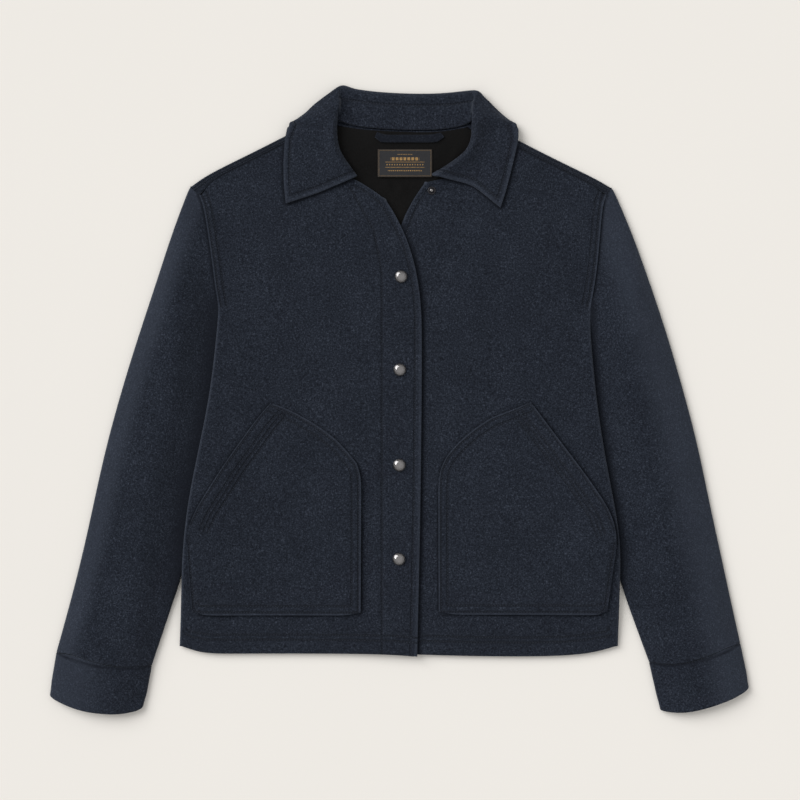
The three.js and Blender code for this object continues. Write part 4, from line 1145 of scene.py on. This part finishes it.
LINING_CREASES = (
    Crease((-30, 300), (-8, 214), 0.9, 7, bow=5, lean=0.5),
    Crease((-54, 286), (-30, 246), 0.7, 6, bow=-3),
    Crease((46, 262), (16, 222), 0.7, 7, bow=-3, lean=0.5),
    Crease((70, 300), (52, 262), 0.6, 7, bow=3),
    Crease((-6, 258), (34, 240), 0.8, 6, bow=-4, lean=0.4),
)
LEAF_CREASES = (
    Crease((-116, 250), (-136, 232), 1.7, 16),
    Crease((-98, 300), (-126, 270), -0.6, 14, bow=3),
    Crease((104, 248), (120, 228), 1.6, 15),
    Crease((112, 304), (126, 262), 0.7, 12, bow=-4),
)


def ripple(places: Array, size: float, seed: float) -> Array:
    """Returns slow waves without a direction, between about -1 and 1, for cloth that isn't quite flat."""
    total = np.zeros(len(places))
    for step in range(7):
        angle = seed + step * 2.399
        frequency = 2 * math.pi / (size * (0.62 + 0.17 * step))
        phase = (places[:, 0] * math.cos(angle) + places[:, 1] * math.sin(angle)) * frequency
        total += np.sin(phase + seed * 3.1 + step * 1.7 + 0.9 * np.sin(phase * 0.37 + step))
    return total / 4.0


# How high the forms beside seams and edges stand and where they fade, mm

RIDGE_RISE = 1.4  # seam allowance beside the armholes
RIDGE_FADE = (7.0, 15.0)
RIDGE_START = (112.0, 128.0)
RIDGE_STOP = (224.0, 240.0)
LAP_RISE = 1.6  # free edge of the right front
LAP_FADE = (0.0, 13.0)
LAP_STOP = (150.0, 205.0)
BACK_UPPER = (3.0, 5.0)  # heights between the back's lower and upper layers
ARM_UPPER = (2.7, 4.1)  # the same in a sleeve
TUCK = 0.8  # how far a sleeve goes under the body at the armhole
TUCK_TOP = 1.5  # how much farther at the shoulder
TUCK_FADE = (1.0, 7.0)
UNDERARM = 2.6  # how far it goes under the body below the armhole
UNDERARM_START = (36.0, 58.0)
UNDERARM_STOP = (108.0, 113.0)
CUFF_CORNER = 4.5  # how far the hem's ends are rounded
CUFF_REACH = 9.0


def armhole_ridge(places: Array) -> Array:
    """Returns the height of the seam allowance pressed to the body's side of the armholes."""
    apart = np.minimum(Line(ARMHOLE_RIGHT).distance(places)[0], Line(ARMHOLE_LEFT).distance(places)[0])
    along = smooth(places[:, 1], *RIDGE_START) * fade(places[:, 1], *RIDGE_STOP)
    return RIDGE_RISE * fade(apart, *RIDGE_FADE) * along


def front_lift(places: Array, heights: Array) -> Array:
    """Lifts the upper layer of the body."""
    edge = smooth(BODY.inward(places), 0.0, 40.0)
    return FRONT_FIELD.over_body(places) + armhole_ridge(places) + 0.45 * edge * ripple(places, 64.0, 0.7)


def right_front_lift(places: Array, heights: Array) -> Array:
    """Lifts the right front, and raises its free edge along the lap."""
    apart, _ = Line(EDGE_RIGHT).distance(places)
    free = fade(apart, *LAP_FADE) * fade(places[:, 1], *LAP_STOP)
    return front_lift(places, heights) + LAP_RISE * free


def back_lift(places: Array, heights: Array) -> Array:
    """Lifts the lower layer of the body off the surface in places."""
    low = fade(heights, *BACK_UPPER)
    edge = smooth(BODY.inward(places), 10.0, 50.0)
    waves = np.maximum(0.0, ripple(places, 80.0, 2.1)) * 0.25
    return low * np.clip(BACK_FIELD.over_body(places) + edge * waves, 0.0, 1.0)


def arm_lift(arm: ArmField) -> Lift:
    """Returns the lift of one sleeve and its cuff."""

    def lift(places: Array, heights: Array) -> Array:
        upper = smooth(heights, *ARM_UPPER)
        _, near = arm.share(places)
        under = np.maximum(0.0, risen(ARM_UNDER_CREASES, places)) * smooth(near, 6.0, 24.0)
        clear = smooth(-BODY.inward(places), 1.0, 40.0) * smooth(near, 0.0, 20.0)
        waves = 0.4 * clear * ripple(places, 52.0, 1.3)
        return upper * (arm.over_arm(places) + waves) + (1.0 - upper) * under * clear

    return lift


@dataclass(frozen=True)
class Arm:
    """A sleeve with its cuff, where they join the body, and how they are shaded.

    Attributes:
        side: right or left, the wearer's.
        form: the soft form of both.
        body, armhole: the fold and the seam of the body that the sleeve goes under.
        seam, hem: the cuff's seam and hem.
        inward: 1 where the body lies left of the armhole's direction, else -1.
        shade: how far the painted shade beside the body reaches, mm.
        wear_and_highlight, cuff_highlight: how far the painted highlight along the outer fold reaches on the
            sleeve and the cuff, mm.
    """

    side: str
    form: ArmField
    body: Points
    armhole: Points
    seam: Points
    hem: Points
    inward: float
    shade: float
    wear_and_highlight: float
    cuff_highlight: float

    def shift(self, places: Array) -> Array:
        """Returns the plan shift: into the armhole and underarm, and round at the hem's ends."""
        y = places[:, 1]
        apart, _, sideways = Line((*self.armhole, self.form.outer[0])).nearest(places)
        reach = (TUCK + TUCK_TOP * smooth(y, 230.0, 244.0)) * fade(apart, *TUCK_FADE)
        to_hem, _, upward = Line(self.hem).nearest(places)
        _, near = self.form.share(places)
        bend = np.clip(1.0 - near / CUFF_REACH, 0.0, 1.0)
        corner = CUFF_CORNER * (1.0 - np.sqrt(1.0 - bend ** 2)) * fade(to_hem, 2.0, 22.0)
        moved = sideways * (self.inward * reach)[:, None] + upward * corner[:, None]
        under = smooth(y, *UNDERARM_START) * fade(y, *UNDERARM_STOP)
        inner, _ = Line(self.form.inner).distance(places)
        moved[:, 0] -= self.inward * UNDERARM * under * fade(inner, 2.0, 12.0)
        return moved


@dataclass(frozen=True)
class Pocket:
    """A patch pocket.

    Attributes:
        side: right or left, the wearer's.
        sewn: its sewn edge.
        slant: its hand opening.
        fold: its edge along the body's side.
        outline: all of its edge.
        shown: the part of its edge that lies on the front.
        tack: the bar tack at the top of the opening.
        creases: its own folds.
    """

    side: str
    sewn: Points
    slant: Points
    fold: Points
    outline: Outline
    shown: Points
    tack: Points
    creases: tuple[Crease, ...]

    SEWN_INSETS = (3.0, 10.6)
    SLANT_INSETS = ((5, 2.6), (2, 14.0), (3, 19.0), (4, 24.0))  # row attribute and inset of each

    def lift(self, places: Array, heights: Array) -> Array:
        """Lifts the pocket: as the front, with its own fullness and a higher opening and rim."""
        inward = self.outline.inward(places)
        full = smooth(inward, 2.0, 50.0)
        to_opening, _ = Line(self.slant).distance(places)
        open_edge = fade(to_opening, 0.0, 26.0)
        rim = fade(inward, 0.0, 4.5)
        own = (1.1 * full + smooth(inward, 2.0, 24.0) * risen(self.creases, places)
               + 1.5 * open_edge + 0.5 * rim)
        return front_lift(places, heights) + np.maximum(own, 0.0)

    def rows(self) -> tuple[SewnRow, ...]:
        """Returns two rows at the sewn edge, one at the side, four at the opening and a bar tack."""
        hand = (SewnRow(self.slant, inset, True, index=index) for index, inset in self.SLANT_INSETS)
        return (*doubled(self.sewn, self.SEWN_INSETS, True, 0), SewnRow(self.fold, 3.0, True),
                *hand, SewnRow(self.tack, 0.0, True, index=6))


ARMS = (
    Arm("right", ARM_RIGHT, SIDE_RIGHT, ARMHOLE_RIGHT, CUFF_RIGHT_SEAM, CUFF_RIGHT_HEM,
        inward=-1.0, shade=25.0, wear_and_highlight=34.0, cuff_highlight=80.0),
    Arm("left", ARM_LEFT, SIDE_LEFT, ARMHOLE_LEFT, CUFF_LEFT_SEAM, CUFF_LEFT_HEM,
        inward=1.0, shade=13.0, wear_and_highlight=60.0, cuff_highlight=60.0),
)
POCKET_RIGHT = Pocket(
    "right", POCKET_RIGHT_EDGE, slant=POCKET_RIGHT_OPENING[:5], fold=POCKET_RIGHT_OPENING[5:],
    outline=Outline(POCKET_RIGHT_EDGE, POCKET_RIGHT_OPENING[1:-1]),
    shown=(*POCKET_RIGHT_EDGE[1:], *POCKET_RIGHT_OPENING[1:5]),
    tack=((-149, -7.5), (-126, -18.5)), creases=POCKET_RIGHT_CREASES)
POCKET_LEFT = Pocket(
    "left", POCKET_LEFT_EDGE, slant=POCKET_LEFT_OPENING[3:], fold=POCKET_LEFT_OPENING[:3],
    outline=Outline(POCKET_LEFT_EDGE, POCKET_LEFT_OPENING[1:-1]),
    shown=(*POCKET_LEFT_OPENING[2:-1], *POCKET_LEFT_EDGE[:-1]),
    tack=((151, -6.5), (129, -17)), creases=POCKET_LEFT_CREASES)


def lining_lift(places: Array, heights: Array) -> Array:
    """Lifts the lining, and with it the label and the loop, inside the neck."""
    left, _ = Line(EDGE_LEFT).distance(places)
    right, _ = Line(EDGE_RIGHT).distance(places)
    seen = smooth(np.minimum(left, right), 4.0, 18.0) * fade(places[:, 1], 294.0, 306.0)
    from_label = 34.0 - np.abs(places[:, 0] - 6.5)
    calm = 1.0 - 0.8 * smooth(from_label, 0.0, 8.0) * smooth(places[:, 1], 256.0, 264.0)
    return seen * calm * np.maximum(risen(LINING_CREASES, places) + 0.2 * ripple(places, 26.0, 0.4), -0.2)


@dataclass(frozen=True)
class Horn:
    """The end of the collar's roll, where it runs out at the top of the back.

    Attributes:
        roll: points of the roll's crest from the neck up: x, y and height, mm.
        outer: the outline beside it, from the shoulder up.
        side: 1 where the leaf lies at -X of the roll, else -1.
    """

    roll: tuple[Triple, ...]
    outer: Points
    side: float

    LOW = 9.4  # height at the outline, mm
    BLEND = 0.8  # how softly the raised part meets the rest, mm

    def raised(self, places: Array, heights: Array) -> Array:
        """Returns how far each point of the upper layer is lifted to carry the roll on to its end."""
        xs, ys, zs = np.array(self.roll).T
        outer = np.array(self.outer)
        x, y = places.T
        crest = np.interp(y, ys, xs)
        top = np.interp(y, ys, zs)
        out = (crest - x) * self.side
        width = np.maximum((crest - np.interp(y, outer[:, 1], outer[:, 0])) * self.side, 3.0)
        leaf = top - (top - self.LOW) * np.clip(out / width, 0.0, 1.0) ** 1.2
        target = np.where(out > 0, leaf, top * np.exp(-(out / 3.4) ** 2))
        short = np.clip((target - heights) / self.BLEND, -30.0, 30.0)
        rise = self.BLEND * np.log1p(np.exp(short))
        return rise * smooth(y, 334.0, 346.0) * smooth(heights, 4.6, 5.8)


HORNS = (
    Horn(((-72.5, 329, 22.4), (-72, 340, 19.4), (-71, 351, 17.2), (-72, 360, 14.2), (-73, 368, 10.6),
          (-73, 372, 8.6)),
         ((-128, 326.5), (-111, 338.5), (-92, 354.5), (-73, 370)), 1.0),
    Horn(((85, 329, 22.4), (86.5, 339, 19.4), (87.5, 349, 17.0), (90, 358, 13.8), (92, 365, 10.2),
          (92, 369, 8.6)),
         ((134, 326), (115, 340.5), (104, 354), (93, 366)), -1.0),
)


def collar_lift(places: Array, heights: Array) -> Array:
    """Lifts the collar's leaves with the fronts that they lie on, curls their points and raises the horns."""
    curl = np.maximum(risen(LEAF_CREASES, places), -0.3)
    total = front_lift(places, heights) + smooth(BODY.inward(places), 6.0, 40.0) * curl
    for horn in HORNS:
        total += np.where(places[:, 0] * horn.side < 0, horn.raised(places, heights), 0.0)
    return total


# Where the collar's outline is moved, how far, and the reach of each move, mm
COLLAR_ROUNDING = (
    ((-124.3, 321.6), (-3.8, 5.4), 4.6),
    ((-127.6, 328.6), (2.0, -1.2), 2.6),
    ((-68.0, 367.0), (0.5, 3.2), 10.0),
    ((132.4, 321.0), (4.4, 3.4), 4.8),
    ((91.0, 363.5), (2.4, 2.6), 9.0),
)


def collar_shift(places: Array) -> Array:
    """Returns the plan shift that rounds the collar where its fall turns under at the shoulders."""
    moved = np.zeros_like(places)
    for centre, step, reach in COLLAR_ROUNDING:
        apart = np.hypot(*(places - centre).T)
        moved += np.exp(-(apart / reach) ** 2)[:, None] * np.array(step)
    return moved


# The jacket


@dataclass(frozen=True)
class Cut:
    """What a sewn piece was cut to.

    Attributes:
        flat: width and length of the cut, metres.
        area: its flat area, square metres.
        rests_on: the pieces that it lies on.
    """

    flat: Pair
    area: float | None
    rests_on: tuple[str, ...]


# Insets of double rows, and how far painted shade and painted highlights reach from a line, mm
SHOULDER_INSETS = (2.0, 5.0)
HEM_INSETS = (16.0, 22.0)
ARMHOLE_INSETS = (3.5, 9.5)
SHOULDER_SHADE = 1.8
POCKET_SHADE = 3.4
COLLAR_SHADE = 5.0
LAP_SHADE = 6.5
ARMHOLE_SHADE = 5.0
CUFF_SHADE = 3.2
EDGE_HIGHLIGHT = 4.5
FOLD_HIGHLIGHT = 3.4
ARMHOLE_HIGHLIGHT = 3.0
COLLAR_HIGHLIGHT = 5.0
POCKET_HIGHLIGHT = 3.2


def body_pieces() -> list[ClothPiece]:
    """Returns the back and the two fronts."""
    under = Face.UNDER
    back = ClothPiece(
        "back", 2, back_lift,
        rows=(*doubled(SHOULDER_RIGHT, SHOULDER_INSETS, True, 0),
              *doubled(SHOULDER_LEFT, SHOULDER_INSETS, False, 0),
              *doubled(HEM_BACK, HEM_INSETS, True, 2, under),
              *doubled(ARMHOLE_RIGHT, ARMHOLE_INSETS, False, 4, under),
              *doubled(ARMHOLE_LEFT, ARMHOLE_INSETS, True, 4, under)),
        contacts=(Band(SHOULDER_RIGHT, SHOULDER_SHADE), Band(SHOULDER_LEFT, SHOULDER_SHADE)))
    right = ClothPiece(
        "front_right", 3, right_front_lift,
        rows=(SewnRow(EDGE_RIGHT, 8.0, True), SewnRow(PLACKET, 0.0, True, index=1),
              *doubled(HEM_RIGHT, HEM_INSETS, True, 2), *doubled(ARMHOLE_RIGHT, ARMHOLE_INSETS, False, 4)),
        contacts=(Band(POCKET_RIGHT.shown, POCKET_SHADE), Band(COLLAR_RIGHT_EDGE, COLLAR_SHADE),
                  Band(SHOULDER_RIGHT, SHOULDER_SHADE)),
        rims=(Band(EDGE_RIGHT, EDGE_HIGHLIGHT), Band(SIDE_RIGHT, FOLD_HIGHLIGHT), Band(ARMHOLE_RIGHT, ARMHOLE_HIGHLIGHT)))
    left = ClothPiece(
        "front_left", 3, front_lift,
        rows=(SewnRow(EDGE_LEFT, 9.5, False),
              *doubled(HEM_LEFT, HEM_INSETS, True, 2), *doubled(ARMHOLE_LEFT, ARMHOLE_INSETS, True, 4)),
        contacts=(Band(POCKET_LEFT.shown, POCKET_SHADE), Band(COLLAR_LEFT_EDGE, COLLAR_SHADE),
                  Band(EDGE_RIGHT, LAP_SHADE), Band(SHOULDER_LEFT, SHOULDER_SHADE)),
        rims=(Band(EDGE_LEFT, EDGE_HIGHLIGHT), Band(SIDE_LEFT, FOLD_HIGHLIGHT), Band(ARMHOLE_LEFT, ARMHOLE_HIGHLIGHT)))
    return [back, right, left]


def arm_pieces() -> list[ClothPiece]:
    """Returns both sleeves, then both cuffs."""
    sleeves = [
        ClothPiece(f"sleeve_{arm.side}", 3, arm_lift(arm.form), arm.shift,
                   contacts=(Band(arm.body, arm.shade), Band(arm.armhole, ARMHOLE_SHADE),
                             Band(arm.seam, CUFF_SHADE)),
                   rims=(Band(arm.form.outer, arm.wear_and_highlight),))
        for arm in ARMS]
    cuffs = [
        ClothPiece(f"cuff_{arm.side}", 3, arm_lift(arm.form), arm.shift,
                   contacts=(Band(arm.seam, CUFF_SHADE),), rims=(Band(arm.form.outer, arm.cuff_highlight),))
        for arm in ARMS]
    return sleeves + cuffs


def small_pieces() -> list[ClothPiece]:
    """Returns the collar, the pockets, and what shows inside the neck."""
    collar = ClothPiece(
        "collar", 3, collar_lift, collar_shift, corner=62.0,
        rows=(SewnRow(COLLAR_RIGHT_EDGE, 7.0, False), SewnRow(COLLAR_LEFT_EDGE, 7.0, False),
              SewnRow(COLLAR_TURN, 14.0, False, index=1)),
        rims=(Band(COLLAR_RIGHT_EDGE, COLLAR_HIGHLIGHT), Band(COLLAR_LEFT_EDGE, COLLAR_HIGHLIGHT)))
    pockets = [ClothPiece(f"pocket_{pocket.side}", 3, pocket.lift, rows=pocket.rows(),
                          rims=(Band(pocket.shown, POCKET_HIGHLIGHT),))
               for pocket in (POCKET_RIGHT, POCKET_LEFT)]
    return [
        collar, *pockets,
        ClothPiece("lining_back", 3, lining_lift, slot=Slot.LINING),
        ClothPiece("hanger_loop", 3, lining_lift),
        ClothPiece("label", 4, lining_lift, slot=Slot.LABEL, crease=0.95),
    ]


SNAP_SUNK = 0.15 * MM


def metal_pieces(material: Material) -> None:
    """Puts the snap caps and the open snap's stud where their nodes are, on the lifted cloth."""
    places = {f"snap_cap_{i}": CAP for i in (1, 2, 3, 4)}
    places["snap_stud"] = STUD
    for node, form in places.items():
        low, high = (Vector(corner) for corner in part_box(node))
        centre = (low + high) / 2
        spot = np.array([[centre.x, centre.y]]) / MM
        centre.z = low.z + float(front_lift(spot, np.zeros(1))[0]) * MM - SNAP_SUNK
        piece = object_from(form.mesh(f"metal_{node}", centre), material)
        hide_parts(node)


# The stage


@dataclass(frozen=True)
class Studio:
    """Floor, light and camera, metres.

    Attributes:
        floor: the floor's colour.
        sky: colour of the even light.
        horizon: its strength at the horizon.
        zenith: how much stronger it is overhead.
        key_from: where the key light comes from, a direction.
        key_strength: its strength, watts a square metre.
        key_spread: how wide it looks from the floor, degrees, which softens the shadows.
        distance: camera above the floor.
        width: what the frame spans on the floor.
    """

    floor: Triple = (0.83, 0.81, 0.778)
    sky: Triple = (1.0, 0.985, 0.96)
    horizon: float = 0.18
    zenith: float = 0.66
    key_from: Triple = (-0.65, 0.45, 0.61)
    key_strength: float = 2.16
    key_spread: float = 44.0
    distance: float = 3.0
    width: float = 0.944
    centre: Pair = (0.0007, 0.0)

    def _floor(self) -> None:
        """Lays the pale floor."""
        work = bmesh.new()
        bmesh.ops.create_grid(work, x_segments=8, y_segments=8, size=4.0)
        bmesh.ops.translate(work, verts=work.verts[:], vec=(0, 0, -0.0002))
        mesh = bpy.data.meshes.new("floor")
        work.to_mesh(mesh)
        work.free()
        floor = linked("floor", mesh)
        material, nodes, shader = new_material("pale_floor")
        darker = tuple(part * 0.985 for part in self.floor)
        nodes.set(shader, Base_Color=nodes.mix(nodes.noise(3.0, 2.0), darker, self.floor), Roughness=0.9,
                  Specular_IOR_Level=0.1)
        mesh.materials.append(material)

    def _lights(self) -> None:
        """Adds the even light and the key lamp."""
        world = bpy.data.worlds.new("studio")
        world.use_nodes = True
        background = world.node_tree.nodes["Background"]
        background.inputs["Color"].default_value = (*self.sky, 1.0)
        nodes = Nodes(world.node_tree)
        direction = nodes.add("ShaderNodeSeparateXYZ")
        nodes.feed(direction.inputs[0], nodes.add("ShaderNodeTexCoord").outputs["Generated"])
        height = nodes.math("MAXIMUM", direction.outputs[2], 0.0)
        strength = nodes.math("MULTIPLY_ADD", height, self.zenith, self.horizon)
        nodes.feed(background.inputs["Strength"], strength)
        bpy.context.scene.world = world
        lamp = bpy.data.lights.new("key", "SUN")
        lamp.energy = self.key_strength
        lamp.angle = math.radians(self.key_spread)
        lamp.color = (1.0, 0.99, 0.975)
        key = linked("key", lamp)
        key.location = (-1.5, 1.7, 2.2)
        key.rotation_euler = Vector(self.key_from).to_track_quat("Z", "Y").to_euler()

    def _camera(self) -> None:
        """Looks straight down, with the collar at the top of the frame."""
        camera = bpy.data.cameras.new("camera")
        camera.sensor_width = 36.0
        camera.sensor_fit = "HORIZONTAL"
        camera.lens = camera.sensor_width * self.distance / self.width
        camera.clip_end = 50.0
        holder = linked("camera", camera)
        holder.location = (*self.centre, self.distance)
        bpy.context.scene.camera = holder

    def make(self) -> None:
        """Builds the whole stage."""
        self._floor()
        self._lights()
        self._camera()
        bpy.context.scene.view_settings.view_transform = "Standard"


def main() -> None:
    """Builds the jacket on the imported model's frame, and its stage."""
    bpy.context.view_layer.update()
    palette = Palette()
    materials = {Slot.WOOL: palette.wool, Slot.LINING: palette.lining, Slot.LABEL: palette.label}
    for cloth in (*body_pieces(), *arm_pieces(), *small_pieces()):
        # The hanger loop gets the wool with painted shade
        material = palette.shaded_wool if cloth.node == "hanger_loop" else materials[cloth.slot]
        piece = cloth.make(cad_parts[cloth.node], material)
        stitches = Stitcher(cloth).make(palette.thread) if cloth.rows else None
    metal_pieces(palette.snap)
    Studio().make()


if __name__ == "__main__":
    logging.basicConfig(level=logging.INFO, format="%(name)s %(message)s")
    main()
